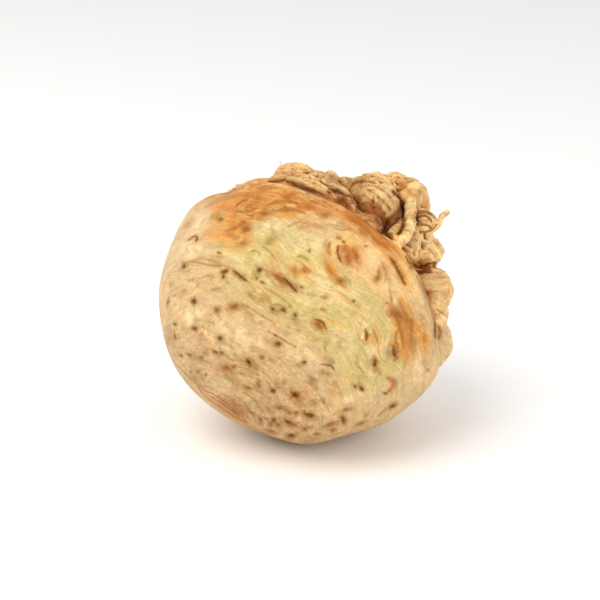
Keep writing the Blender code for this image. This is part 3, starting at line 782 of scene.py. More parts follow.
def rim_ridge(first, last, above_rim, distance):
    """A path along the rim that sways a little."""
    steps = round((last - first) / RIDGE_STEP)
    for step in range(steps + 1):
        longitude = first + (last - first) * step / steps
        sway = RIDGE_SWAY * noise.noise(Vector((longitude * RIDGE_WAVES, above_rim, 0.5)))
        sunk = RIDGE_END_SUNK if step in (0, steps) else 0
        yield longitude, float(rim_latitude(longitude)) + above_rim + sway, distance - sunk


def stumps():
    """The cut roots' paths and radii."""
    draw = random.Random(STUMP_SEED)
    for longitude, latitude in spread_places(STUMP_COUNT, STUMP_LONGITUDES, STUMP_LATITUDES):
        out = toward(longitude, latitude)
        lean = Vector([draw.uniform(-1, 1) for _ in range(3)]) * STUMP_LEAN
        foot = out * STUMP_FOOT
        tip = out * draw.uniform(*STUMP_TIP) + lean - out * lean.dot(out)
        middle = (foot + tip) / 2 - lean / 6
        radius = draw.uniform(*STUMP_RADIUS)
        yield [foot, middle, tip], radius * STUMP_FLARE, radius


def grown_forms():
    """Everything that is fused into the celeriac, as closed forms that overlap."""
    unit, faces = round_form(7)
    yield unit * ball_reach(unit)[:, None], faces
    unit, faces = round_form(5)
    for lobe in [*LOBES, *filling_lobes()]:
        yield lobe_form(lobe, unit, faces)
    ridges = [(list(rim_ridge(*ridge[:4])), *ridge[4:]) for ridge in RIM_RIDGES]
    for places, first, last in [*ROOTS, *ridges]:
        points = [toward(lon, lat) * distance * MM for lon, lat, distance in places]
        yield root_form(points, first * MM, last * MM)
    for points, first, last in stumps():
        yield root_form(points, first, last)


def mesh_from(name, forms):
    """One mesh that holds all the forms."""
    corners, faces, count = [], [], 0
    for form_corners, form_faces in forms:
        corners.append(form_corners)
        faces.extend([[corner + count for corner in face] for face in form_faces])
        count += len(form_corners)
    mesh = bpy.data.meshes.new(name)
    mesh.from_pydata(np.concatenate(corners).tolist(), [], faces)
    mesh.update()
    return mesh


def apply_modifiers(obj):
    bpy.context.view_layer.update()
    graph = bpy.context.evaluated_depsgraph_get()
    mesh = bpy.data.meshes.new_from_object(
        obj.evaluated_get(graph), preserve_all_data_layers=True, depsgraph=graph
    )
    obj.modifiers.clear()
    old = obj.data
    obj.data = mesh
    bpy.data.meshes.remove(old)


def keep_largest_body(mesh):
    """Drop the loose scraps and closed hollows that the forms left between them."""
    shape = bmesh.new()
    shape.from_mesh(mesh)
    bodies = []
    seen = set()
    for start in shape.verts:
        if start in seen:
            continue
        seen.add(start)
        body = [start]
        for vertex in body:
            for edge in vertex.link_edges:
                near = edge.other_vert(vertex)
                if near not in seen:
                    seen.add(near)
                    body.append(near)
        bodies.append(body)
    largest = max(bodies, key=len)
    for body in bodies:
        if body is not largest:
            bmesh.ops.delete(shape, geom=body, context="VERTS")
    shape.to_mesh(mesh)
    shape.free()


def lying_turn():
    """How the globe's axes are turned as it lies."""
    return (
        Matrix.Rotation(math.radians(ROOT_END_AZIMUTH), 3, "Z")
        @ Matrix.Rotation(math.radians(90 - ROOT_END_ELEVATION), 3, "Y")
        @ Matrix.Rotation(math.radians(TURN_ABOUT_AXIS), 3, "Z")
    )


def camera_matrix():
    elevation = math.radians(CAMERA_ELEVATION)
    right = Vector((1, 0, 0))
    up = Vector((0, math.sin(elevation), math.cos(elevation)))
    back = Vector((0, -math.cos(elevation), math.sin(elevation)))
    middle = FRAME_PIXELS / 2
    aside = right * (middle - CENTRE_PIXEL[0]) + up * (CENTRE_PIXEL[1] - middle)
    place = BODY_CENTRE + back * CAMERA_DISTANCE + aside * PIXEL_SIZE
    return Matrix.Translation(place) @ Matrix((right, up, back)).transposed().to_4x4()


def frame_reach():
    """The camera's distance to a frame that has one pixel to each unit."""
    return CAMERA_DISTANCE / PIXEL_SIZE


def pixels_of(points):
    """Where each point shows in the picture."""
    seen = np.array(camera_matrix().inverted())
    local = points @ seen[:3, :3].T + seen[:3, 3]
    scale = frame_reach() / -local[:, 2]
    return FRAME_PIXELS / 2 + local[:, 0] * scale, FRAME_PIXELS / 2 - local[:, 1] * scale


class Skin:
    """The skin's mesh as arrays while it is shaped, in the globe's axes."""

    def __init__(self, mesh):
        self.mesh = mesh
        count = len(mesh.vertices)
        flat = np.empty(count * 3, np.float32)
        mesh.vertices.foreach_get("co", flat)
        self.points = flat.reshape(-1, 3).astype(float)
        ends = np.empty(len(mesh.edges) * 2, np.int32)
        mesh.edges.foreach_get("vertices", ends)
        self.edges = ends.reshape(-1, 2)
        self.longitude = longitudes_of(self.points)
        self.latitude = latitudes_of(self.points)
        self.masks = {}
        self.height = np.zeros(count)

    def directions(self):
        return self.points / np.linalg.norm(self.points, axis=1)[:, None]

    def normals(self):
        flat = np.empty(len(self.mesh.vertices) * 3, np.float32)
        self.mesh.vertices.foreach_get("normal", flat)
        return flat.reshape(-1, 3).astype(float)

    def settled(self, values, rounds):
        """Each value made the mean of its neighbours' along the edges, some rounds over."""
        count = len(values)
        ends = np.concatenate((self.edges, self.edges[:, ::-1]))
        neighbours = np.bincount(ends[:, 0], minlength=count)
        for _ in range(rounds):
            sums = [
                np.bincount(ends[:, 0], weights=values[ends[:, 1], axis], minlength=count)
                for axis in range(values.shape[1])
            ]
            values = np.stack(sums, axis=1) / neighbours[:, None]
        return values

    def raise_mask(self, name, values, where=slice(None)):
        mask = self.masks.setdefault(name, np.zeros(len(self.points)))
        mask[where] = np.maximum(mask[where], values)

    def move_out(self, heights):
        """Move the skin along its normals by heights in metres."""
        self.points += self.normals() * heights[:, None]
        self.mesh.vertices.foreach_set("co", self.points.astype(np.float32).ravel())
        self.mesh.update()

    def write_masks(self):
        for name, mask in self.masks.items():
            attribute = self.mesh.attributes.new(name, "FLOAT", "POINT")
            attribute.data.foreach_set("value", np.clip(mask, 0, 1).astype(np.float32))


def hollows_of(skin, rounds):
    """How far each place of the skin lies below its smoothed surroundings, in mm."""
    return np.einsum("ij,ij->i", skin.settled(skin.points, rounds) - skin.points, skin.normals()) / MM


def shelter_of(skin, points, normals, tree, where):
    """How much of the sky over each place the skin round it shuts off, from 0 to 1."""
    rays = []
    for number in range(SHELTER_RAYS):
        height = math.sqrt((number + 0.5) / SHELTER_RAYS)
        around = 2 * math.pi * number * GOLDEN_SHARE
        wide = math.sqrt(1 - height ** 2)
        rays.append(Vector((wide * math.cos(around), wide * math.sin(around), height)))
    shelter = np.zeros((len(points), 1))
    for index in where.tolist():
        normal = Vector(normals[index])
        place = Vector(points[index]) + normal * SHELTER_START
        turn = normal.to_track_quat("Z", "Y")
        shut = [tree.ray_cast(place, turn @ ray, SHELTER_REACH)[0] is not None for ray in rays]
        shelter[index] = sum(shut) / SHELTER_RAYS
    return skin.settled(shelter, SHELTER_SMOOTHING)[:, 0]


def seen_from_front(tree, points, normals):
    """Which places the camera sees."""
    back = np.array(camera_matrix().to_3x3().col[2])
    facing = np.nonzero(normals @ back > 0)[0]
    eye = camera_matrix().translation
    seen = np.zeros(len(points), bool)
    for index in facing.tolist():
        place = Vector(points[index])
        away = (eye - place).normalized()
        seen[index] = tree.ray_cast(place + away * SHELTER_START, away)[0] is None
    return seen


def reach_of(kind):
    """How far a mark of this kind reaches, in shares of its half size."""
    return (1 + EDGE_UNEVENNESS) * max(gone for _, _, _, gone in MARK_KINDS[kind][2])


def paint(skin, kind, share, where):
    """Lay a mark's layers and depth on the skin, from how far out each place lies in it."""
    depth, reach, layers = MARK_KINDS[kind]
    share = share * (1 + EDGE_UNEVENNESS * noise_at(skin.points[where] / MM * EDGE_WAVES, 43))
    skin.height[where] += depth * MM * (1 - rise(0, reach, share))
    for name, strength, full, gone in layers:
        skin.raise_mask(name, strength * (1 - rise(full, gone, share)), where)


def share_of_oval(across, up, turn, half_length, half_width):
    """How far out each place lies in an oval turned by so many radians, from 0 to 1 at its border."""
    along = (across * math.cos(turn) + up * math.sin(turn)) / half_length
    beside = (up * math.cos(turn) - across * math.sin(turn)) / half_width
    return np.hypot(along, beside)


def paint_spot(skin, x, y, visible, kind, spot):
    spot_x, spot_y, half_length, half_width, turn = spot
    away = reach_of(kind) * max(half_length, half_width)
    where = np.nonzero(visible & (abs(x - spot_x) < away) & (abs(y - spot_y) < away))[0]
    across, up = x[where] - spot_x, spot_y - y[where]
    paint(skin, kind, share_of_oval(across, up, math.radians(turn), half_length, half_width), where)


def paint_stroke(skin, x, y, visible, kind, stroke):
    half_width, corners = stroke
    path = [point.xy for point in smooth_path([Vector((*corner, 0)) for corner in corners], STROKE_STEP)]
    margin = reach_of(kind) * half_width
    low, high = np.min(path, axis=0) - margin, np.max(path, axis=0) + margin
    where = np.nonzero(visible & (x > low[0]) & (x < high[0]) & (y > low[1]) & (y < high[1]))[0]
    nearest = np.full(len(where), np.inf)
    for index, (start, end) in enumerate(zip(path, path[1:])):
        along = end - start
        share = ((x[where] - start.x) * along.x + (y[where] - start.y) * along.y) / along.length_squared
        share = np.clip(share, 0, 1)
        distance = np.hypot(x[where] - start.x - along.x * share, y[where] - start.y - along.y * share)
        middle = abs(2 * (index + share) / (len(path) - 1) - 1)
        nearest = np.minimum(nearest, distance / (half_width * (1 - STROKE_TAPER * middle ** 3)))
    paint(skin, kind, nearest, where)


def paint_scatter(skin, visible):
    draw = random.Random(SCATTER_SEED)
    kinds = [kind for kind, share in SCATTER_SHARES.items() for _ in range(share)]
    ball = skin.latitude < rim_latitude(skin.longitude) - RIM_MARGIN
    for longitude, latitude in spread_places(SCATTER_COUNT, (0, 360), SCATTER_LATITUDES):
        longitude += draw.uniform(-SCATTER_JITTER, SCATTER_JITTER)
        latitude += draw.uniform(-SCATTER_JITTER, SCATTER_JITTER)
        kind = draw.choice(kinds)
        half_length = draw.uniform(*SCATTER_SIZE) * SCATTER_STRETCH.get(kind, 1) * MM
        half_width = half_length * (LINE_WIDTH if kind == "line" else draw.uniform(*SCATTER_WIDTH))
        turn = math.radians(draw.gauss(0, SCATTER_TURN))
        out = toward(longitude, latitude)
        to_east = Vector((0, 0, 1)).cross(out).normalized()
        to_north = out.cross(to_east)
        near = ball & (skin.points @ np.array(out) > 0) & (kind in FAINT_KINDS or ~visible)
        where = np.nonzero(near & ~(visible & (skin.latitude > FAINT_LATITUDE)))[0]
        east, north = skin.points[where] @ np.array(to_east), skin.points[where] @ np.array(to_north)
        inside = np.hypot(east, north) < reach_of(kind) * half_length
        where, east, north = where[inside], east[inside], north[inside]
        paint(skin, kind, share_of_oval(east, north, turn, half_length, half_width), where)


def add_flow(skin, x, y, visible):
    """The streaks' own map: the way round the axis in the first two values, and the way along it, in radians,
    in the third. It is warped, and bends round the eyes, so that lines drawn along it swirl as the grain
    does."""
    north = skin.latitude + sum(
        height * noise_at(skin.directions() * frequency, seed) for height, frequency, seed in STREAK_WARPS
    )
    for eye_x, eye_y, reach in EYES:
        away = np.hypot(x - eye_x, y - eye_y) / reach
        inside = np.where(visible, 1 - rise(*EYE_BORDER, away), 0)
        middle = north[visible & (away < EYE_HEART)].mean()
        north = north * (1 - inside) + (middle + away * reach * EYE_RISE) * inside
    drift, frequency, seed = STREAK_DRIFT
    around = np.radians(skin.longitude + drift * noise_at(skin.directions() * frequency, seed))
    flow = np.stack((np.cos(around), np.sin(around), np.radians(north)), axis=1)
    attribute = skin.mesh.attributes.new("flow", "FLOAT_VECTOR", "POINT")
    attribute.data.foreach_set("vector", flow.astype(np.float32).ravel())
    return flow


def add_regions(skin):
    """The large parts of the skin's colour."""
    longitude, latitude = skin.longitude, skin.latitude
    directions = skin.directions()
    ragged = sum(height * noise_at(directions * waves, seed) for height, waves, seed in RAGGED_BORDER)
    places, borders = zip(*AMBER_BORDER)
    border = np.interp(longitude, places, borders)
    start, full, fading, end = RIGHT_LONGITUDES
    gap = rise(*AMBER_GAP_LATITUDES, latitude + 0.5 * ragged) * rise(*AMBER_GAP_LONGITUDES, longitude)
    gap = np.maximum(gap, rise(start, full, longitude)) * (1 - rise(fading, end, longitude))
    skin.raise_mask("amber", rise(*AMBER_EDGE, latitude + ragged - border) * (1 - AMBER_GAP_SHARE * gap))
    past_rim = latitude - rim_latitude(longitude)
    smooth_lobe = belt(*SMOOTH_LOBE_LONGITUDES, longitude) * (1 - rise(*SMOOTH_LOBE_TOP, latitude))
    root_end = rise(*ROOT_END_EDGE, past_rim + 0.4 * ragged) * (1 - SMOOTH_LOBE_SHARE * smooth_lobe)
    skin.raise_mask("root_end", root_end)
    skin.raise_mask("ball", 1 - root_end)
    low, high, strength = GREEN_PATCHES
    patches = strength * rise(low, high, noise_at(directions * 2.4, 17))
    sides = np.where(abs(longitude) > GREEN_SIDES_FROM, patches, 0)
    start, full, fading, end = GREEN_LATITUDES
    green = rise(start, full, latitude + ragged) * (1 - rise(fading, end, latitude + 0.5 * ragged))
    skin.raise_mask("green", green * np.maximum(belt(*GREEN_LONGITUDES, longitude), sides))
    skin.raise_mask("cream", rise(*CREAM_LATITUDES, latitude + ragged) * belt(*CREAM_LONGITUDES, longitude))
    skin.raise_mask("speckled", 1 - rise(*SPECKLED_EDGE, latitude + ragged))
    skin.raise_mask("crown", 1 - rise(*CROWN_EDGE, latitude + 0.6 * ragged))
    left_crown = belt(*LEFT_CROWN_LONGITUDES, longitude)
    skin.raise_mask("crown", left_crown * (1 - rise(*LEFT_CROWN_EDGE, latitude + 0.6 * ragged)))


def wrinkle(skin, flow):
    """Fine relief along the streaks, folds on the lobes, and rings on the crown, in metres."""
    root_end = skin.masks["root_end"]
    places = skin.points / MM
    fine = noise_at(flow * (14, 14, 55), 19)
    folds = abs(noise_at(flow * (5, 5, 22), 23)) + 0.5 * abs(noise_at(flow * (9, 9, 44), 29))
    knobs = noise_at(places * 0.33, 31)
    creases = abs(noise_at(places * (0.5, 0.5, 0.8), 47))
    swell, *heights = ROOT_END_RELIEF
    knotty = swell + sum(height * form for height, form in zip(heights, (fine, folds, knobs, creases)))
    for *longitudes, share in FEWER_FOLDS:
        knotty = knotty * (1 - share * belt(*longitudes, skin.longitude))
    skin.height += MM * (STREAK_HEIGHT * fine + root_end * knotty)
    sway = CROWN_RING_SWAY * noise_at(flow * 3, 37)
    rings = np.sin(np.radians(skin.latitude) * CROWN_RING_PHASE + sway)
    skin.height += MM * CROWN_RING_HEIGHT * rings * skin.masks["crown"]
    skin.height += MM * AMBER_SWELL * skin.masks["amber"] * (1 - root_end) * noise_at(flow * (6, 6, 30), 41)


def fused_forms(grain):
    """The forms as one closed skin with cells of the grain's size, as an object."""
    obj = bpy.data.objects.new(SKIN_PIECE, mesh_from(SKIN_PIECE, grown_forms()))
    bpy.context.scene.collection.objects.link(obj)
    fuse = obj.modifiers.new("one skin", "REMESH")
    fuse.mode = "VOXEL"
    fuse.voxel_size = grain
    soften = obj.modifiers.new("soft joins", "SMOOTH")
    soften.iterations = JOIN_SMOOTHING
    apply_modifiers(obj)
    keep_largest_body(obj.data)
    return obj


def paint_fold_shade_and_highlights(skin, shelter):
    """Painted shade in the folds of the root end, dark in them and reddish brown round them, and a painted
    highlight where the skin stands out.
    """
    knotty = rise(*KNOTTY_EDGE, skin.latitude - rim_latitude(skin.longitude))
    root_end = skin.masks["root_end"]
    fine, broad = hollows_of(skin, FINE_HOLLOWS), hollows_of(skin, BROAD_HOLLOWS)
    # Painted shade: the dark colour where the skin round a place shuts off the sky, and in the fine hollows
    skin.raise_mask("crevice", rise(*CREVICE_SHADE_SHELTER, shelter) + rise(*CREVICE_SHADE_DEPTH, fine) * knotty)
    # Painted shade: reddish brown in the broad hollows and in the sheltered places of the root end
    skin.raise_mask("rust", RUST_SHADE_DEPTH_STRENGTH * rise(*RUST_SHADE_DEPTH, broad) * knotty)
    skin.raise_mask("rust", RUST_SHADE_SHELTER_STRENGTH * rise(*RUST_SHADE_SHELTER, shelter) * root_end)
    # Painted highlight: a paler colour where the skin stands out above its surroundings
    skin.raise_mask("pale", HIGHLIGHT_STRENGTH * rise(*HIGHLIGHT_HEIGHT, -broad) * root_end)


def thin_out(obj, kept, triangles):
    """Bring the mesh down to so many triangles, with the kept vertices as the last to go."""
    weights = obj.vertex_groups.new(name="keep")
    weights.add(np.nonzero(kept)[0].tolist(), 1.0, "REPLACE")
    obj.data.calc_loop_triangles()
    fewer = obj.modifiers.new("fewer faces", "DECIMATE")
    fewer.ratio = triangles / len(obj.data.loop_triangles)
    fewer.use_collapse_triangulate = True
    fewer.vertex_group = "keep"
    fewer.invert_vertex_group = True
    apply_modifiers(obj)
    obj.vertex_groups.clear()


def shape_skin(settings):
    """The skin, with its relief and with the masks that its colours follow."""
    obj = fused_forms(settings.grain)
    skin = Skin(obj.data)
    turn = np.array(lying_turn())
    lying = skin.points @ turn.T + np.array(BODY_CENTRE)
    facing = skin.normals() @ turn.T
    tree = BVHTree.FromPolygons(lying.tolist(), [list(face.vertices) for face in skin.mesh.polygons])
    visible = seen_from_front(tree, lying, facing)
    x, y = pixels_of(lying)
    flow = add_flow(skin, x, y, visible)
    add_regions(skin)
    for marks, paint_mark in ((SPOTS, paint_spot), (STROKES, paint_stroke)):
        for kind, places in marks.items():
            for place in places:
                paint_mark(skin, x, y, visible, kind, place)
    paint_scatter(skin, visible)
    wrinkle(skin, flow)
    skin.move_out(skin.height * settings.relief)
    knotty = np.nonzero(skin.latitude > rim_latitude(skin.longitude) - ROOT_END_MARGIN)[0]
    paint_fold_shade_and_highlights(skin, shelter_of(skin, lying, facing, tree, knotty))
    skin.write_masks()

    marked = np.maximum.reduce([skin.masks[name] for name in ("dark", "rust", "olive")]) * skin.masks["ball"]
    thin_out(obj, visible | (marked > KEPT_FROM), settings.triangles)
    obj.data.transform(Matrix.Translation(BODY_CENTRE) @ lying_turn().to_4x4())
    keep_in_box(obj.data)
    obj.data.shade_smooth()
    return obj


def keep_in_box(mesh):
    """The skin stays in the solid's box, which also flattens the spot that it rests on."""
    low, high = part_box(NODE)
    flat = np.empty(len(mesh.vertices) * 3, np.float32)
    mesh.vertices.foreach_get("co", flat)
    points = np.clip(flat.reshape(-1, 3), np.array(low), np.array(high))
    mesh.vertices.foreach_set("co", points.astype(np.float32).ravel())
    mesh.update()


def node(tree, kind, inputs=None, **settings):
    """Add a node with its settings. An input is a value or the socket that feeds it."""
    made = tree.nodes.new(kind)
    for name, value in settings.items():
        setattr(made, name, value)
    for key, value in (inputs or {}).items():
        if isinstance(value, bpy.types.NodeSocket):
            tree.links.new(value, made.inputs[key])
        else:
            made.inputs[key].default_value = value
    return made


def new_material(name):
    """A material with its nodes and its shader."""
    material = bpy.data.materials.new(name)
    material.use_nodes = True
    return material, material.node_tree, material.node_tree.nodes["Principled BSDF"]


def washed_root_skin(name, colours):
    """Celeriac skin, scrubbed and still a little damp: thin corky skin over pale flesh.
    It gives the eye streaks that run round the ball, dull pits, amber scrubbed places and a soft, broad
    gloss."""
    material, tree, shader = new_material(name)
    flow = node(tree, "ShaderNodeAttribute", attribute_name="flow").outputs["Vector"]
    place = node(tree, "ShaderNodeTexCoord").outputs["Object"]

    # Sizes of the patterns: streaks 12 mm by 0.7, grain 20 mm by 1.5, bands 15 mm by 2.5 and swirls 20 mm
    # by 5, all along the grain, and speckle of 0.9 mm, freckles of 1.8 mm, mottle of 4 mm and clouds of 11 mm
    patterns = {}
    for pattern, vector, waves, detail, distortion in (
        ("streaks", flow, (5, 5, 85), 5.0, 0.4),
        ("grain", flow, (3, 3, 40), 2.0, 0.5),
        ("bands", flow, (4, 4, 24), 3.0, 0.8),
        ("swirls", flow, (3, 3, 12), 3.0, 1.2),
        ("speckle", place, (1100, 1100, 1100), 2.0, 0.0),
        ("freckles", place, (560, 560, 560), 2.0, 0.0),
        ("mottle", place, (250, 250, 250), 3.0, 0.5),
        ("clouds", place, (90, 90, 90), 3.0, 0.8),
    ):
        stretched = node(tree, "ShaderNodeVectorMath", {0: vector, 1: waves}, operation="MULTIPLY")
        patterns[pattern] = node(
            tree, "ShaderNodeTexNoise", {
                "Vector": stretched.outputs["Vector"], "Scale": 1.0, "Detail": detail, "Roughness": 0.6,
                "Distortion": distortion,
            },
        ).outputs["Fac"]
    # Thin lines run where a pattern passes its middle value, like the contours of a map
    for lines, pattern in (("lines", "grain"), ("rings", "bands"), ("veins", "mottle")):
        beside = node(tree, "ShaderNodeMath", {0: patterns[pattern], 1: 0.5}, operation="SUBTRACT")
        line = node(tree, "ShaderNodeMath", {0: beside.outputs[0]}, operation="ABSOLUTE")
        patterns[lines] = line.outputs[0]

    # The grown skin. Each layer shows where its mask and a share of the pattern add up to more than the
    # first bound, and is at its full strength past the second. No mask stands for the whole skin
    colour = colours.beige[:]
    for mask, tint, pattern, share, low, high, strength in (
        (None, colours.cream, "clouds", -1.0, 0.48, 0.64, 0.45),
        (None, colours.pink, "swirls", 1.0, 1.52, 1.68, 0.25),
        ("green", colours.green, "bands", 0.8, 0.6, 1.25, 0.95),
        ("cream", colours.cream, "bands", 0.8, 0.6, 1.25, 0.95),
        ("green", colours.pale, "clouds", -1.0, 0.48, 0.62, 0.35),
        ("green", colours.cream, "swirls", -1.0, 0.5, 0.66, 0.6),
        ("green", colours.amber, "swirls", 1.0, 1.51, 1.66, 0.55),
        ("cream", colours.amber, "bands", 1.0, 1.5, 1.68, 0.6),
        ("amber", colours.amber, "swirls", 2.0, 1.25, 1.95, 0.95),
        ("amber", colours.cream, "swirls", -1.0, 0.5, 0.62, 0.7),
        ("amber", colours.pale, "clouds", -1.0, 0.52, 0.66, 0.3),
        ("amber", colours.rust, "clouds", 1.0, 1.5, 1.66, 0.6),
        ("amber", colours.rust, "streaks", 1.0, 1.5, 1.66, 0.65),
        ("root_end", colours.tan, "bands", 0.5, 0.45, 1.1, 1.0),
        ("root_end", colours.pale, "clouds", -1.0, 0.5, 0.66, 0.35),
        ("root_end", colours.amber, "mottle", 1.0, 1.5, 1.68, 0.7),
        ("root_end", colours.rust, "clouds", 1.0, 1.5, 1.68, 0.5),
        ("root_end", colours.rust, "streaks", 1.0, 1.54, 1.72, 0.55),
        ("root_end", colours.crevice, "rings", -18.0, 0.25, 0.95, 0.5),
        ("root_end", colours.crevice, "lines", -20.0, 0.25, 0.95, 0.25),
        ("root_end", colours.rust, "veins", -18.0, 0.25, 0.95, 0.45),
        ("ball", colours.pale, "streaks", -1.0, 0.54, 0.7, 0.45),
        ("ball", colours.olive, "streaks", 1.0, 1.53, 1.7, 0.55),
        ("ball", colours.olive, "lines", -18.0, 0.25, 0.95, 0.22),
        ("amber", colours.rust, "rings", -14.0, 0.25, 0.95, 0.4),
        ("speckled", colours.olive, "clouds", 1.0, 1.47, 1.66, 0.38),
        ("speckled", colours.olive, "streaks", 1.0, 1.5, 1.68, 0.5),
        ("speckled", colours.rust, "freckles", 1.0, 1.55, 1.7, 0.5),
        ("crown", colours.rust, "streaks", 1.2, 1.35, 1.75, 0.85),
    ):
        amount = node(tree, "ShaderNodeAttribute", attribute_name=mask).outputs["Fac"] if mask else 1.0
        uneven = node(
            tree, "ShaderNodeMath", {0: patterns[pattern], 1: share, 2: amount}, operation="MULTIPLY_ADD"
        )
        factor = node(
            tree, "ShaderNodeMapRange", {
                "Value": uneven.outputs[0], "From Min": low, "From Max": high, "To Max": strength,
            }, interpolation_type="SMOOTHSTEP",
        )
        mixed = node(
            tree, "ShaderNodeMix", {"Factor": factor.outputs["Result"], 6: colour, 7: tint[:]},
            data_type="RGBA",
        )
        colour = mixed.outputs[2]

    # The marks. Each shows as strongly as its mask says, times the first share where the pattern is low and
    # the second where it is high
    for mask, tint, pattern, low, high in (
        ("glow", colours.amber, "mottle", 0.6, 1.2),
        ("pink", colours.pink, "mottle", 0.4, 1.1),
        ("olive", colours.olive, "speckle", 0.6, 1.3),
        # The next three also paint light and shade: reddish brown with painted shade in the root end's folds,
        # pale with painted highlights in part, and the dark painted shade of the deep folds
        ("rust", colours.rust, "streaks", 0.65, 1.3),
        ("pale", colours.pale, "mottle", 0.4, 1.0),
        ("crevice", colours.crevice, "mottle", 0.5, 1.2),
        ("dark", colours.dark, "speckle", 0.6, 1.12),
    ):
        share = node(
            tree, "ShaderNodeMapRange", {
                "Value": patterns[pattern], "From Min": 0.38, "From Max": 0.62,
                "To Min": low, "To Max": high,
            },
        )
        amount = node(tree, "ShaderNodeAttribute", attribute_name=mask).outputs["Fac"]
        factor = node(
            tree, "ShaderNodeMath", {0: share.outputs["Result"], 1: amount}, operation="MULTIPLY",
            use_clamp=True,
        )
        mixed = node(
            tree, "ShaderNodeMix", {"Factor": factor.outputs[0], 6: colour, 7: tint[:]},
            data_type="RGBA",
        )
        colour = mixed.outputs[2]

    # Uneven lightness, by how light the skin is where the pattern is low and where it is high
    for pattern, low, high in (
        ("speckle", 0.91, 1.06),
        ("streaks", 0.91, 1.07),
        ("bands", 0.88, 1.08),
        ("mottle", 0.9, 1.06),
    ):
        shade = node(
            tree, "ShaderNodeMapRange", {
                "Value": patterns[pattern], "From Min": 0.35, "From Max": 0.65,
                "To Min": low, "To Max": high,
            },
        )
        scaled = node(
            tree, "ShaderNodeVectorMath", {0: colour, "Scale": shade.outputs["Result"]}, operation="SCALE"
        )
        colour = scaled.outputs["Vector"]
    tree.links.new(colour, shader.inputs["Base Color"])

    roughness = node(
        tree, "ShaderNodeMapRange", {
            "Value": patterns["mottle"], "From Min": 0.3, "From Max": 0.7, "To Min": 0.42, "To Max": 0.62,
        },
    )
    tree.links.new(roughness.outputs["Result"], shader.inputs["Roughness"])
    relief = node(
        tree, "ShaderNodeMath", {0: patterns["streaks"], 1: 0.6, 2: patterns["speckle"]},
        operation="MULTIPLY_ADD",
    )
    bump = node(
        tree, "ShaderNodeBump", {"Strength": 0.8, "Distance": 0.35 * MM, "Height": relief.outputs[0]}
    )
    tree.links.new(bump.outputs["Normal"], shader.inputs["Normal"])
    shader.inputs["Metallic"].default_value = 0
    shader.inputs["IOR"].default_value = 1.33
    shader.inputs["Subsurface Weight"].default_value = 0.12
    shader.inputs["Subsurface Radius"].default_value = (2.2 * MM, 1.2 * MM, 0.5 * MM)
    shader.inputs["Subsurface Scale"].default_value = 1.0
    return material


def dry_rootlet_bark(name, colours):
    """Thin corky bark of a dried rootlet, pale brown with dark rings and hardly any gloss."""
    material, tree, shader = new_material(name)
    place = node(tree, "ShaderNodeTexCoord").outputs["Object"]
    # Rings and flakes of about 1 mm
    flakes = node(
        tree, "ShaderNodeTexNoise", {"Vector": place, "Scale": 900.0, "Detail": 3.0, "Roughness": 0.6}
    ).outputs["Fac"]
    share = node(tree, "ShaderNodeMapRange", {"Value": flakes, "From Min": 0.42, "From Max": 0.66})
    tint = node(
        tree, "ShaderNodeMix", {"Factor": share.outputs["Result"], 6: colours.olive[:], 7: colours.rust[:]},
        data_type="RGBA",
    )
    tree.links.new(tint.outputs[2], shader.inputs["Base Color"])
    bump = node(tree, "ShaderNodeBump", {"Strength": 0.5, "Distance": 0.15 * MM, "Height": flakes})
    tree.links.new(bump.outputs["Normal"], shader.inputs["Normal"])
    shader.inputs["Roughness"].default_value = 0.7
    return material


def plain_matt_paint(name, colour):
    """Matt painted board: an even pale surface with a faint tooth."""
    material, tree, shader = new_material(name)
    tooth = node(tree, "ShaderNodeTexNoise", {"Scale": 400.0, "Detail": 2.0}).outputs["Fac"]
    bump = node(tree, "ShaderNodeBump", {"Strength": 0.05, "Distance": 0.1 * MM, "Height": tooth})
    tree.links.new(bump.outputs["Normal"], shader.inputs["Normal"])
    shader.inputs["Base Color"].default_value = colour
    shader.inputs["Roughness"].default_value = 0.8
    return material


def skin_points(tree, corners, height):
    """Places on the skin behind the given pixels, raised towards the camera. Where the skin drops away behind
    them, they keep the distance that they had."""
    matrix = camera_matrix()
    eye = matrix.translation
    reach = None
    for x, y in corners:
        ray = Vector((x - FRAME_PIXELS / 2, FRAME_PIXELS / 2 - y, -frame_reach())).normalized()
        ray = matrix.to_3x3() @ ray
        distance = tree.ray_cast(eye, ray)[3]
        if distance is not None and (reach is None or abs(distance - reach) < ROOTLET_LEAP):
            reach = distance
        yield eye + ray * (reach - height)


def rootlet_form(points, radius, taper):
    path = smooth_path(points, ROOTLET_STEP)
    radii = radius * np.linspace(1, 1 - taper, len(path))
    return tube_form(path, radii, ROOTLET_SIDES, ROOTLET_KNOTS)


def seen_rootlets(tree):
    for radius, height, corners in SEEN_ROOTLETS:
        points = list(skin_points(tree, corners, height * MM))
        yield rootlet_form(points, radius * MM, SEEN_TAPER)


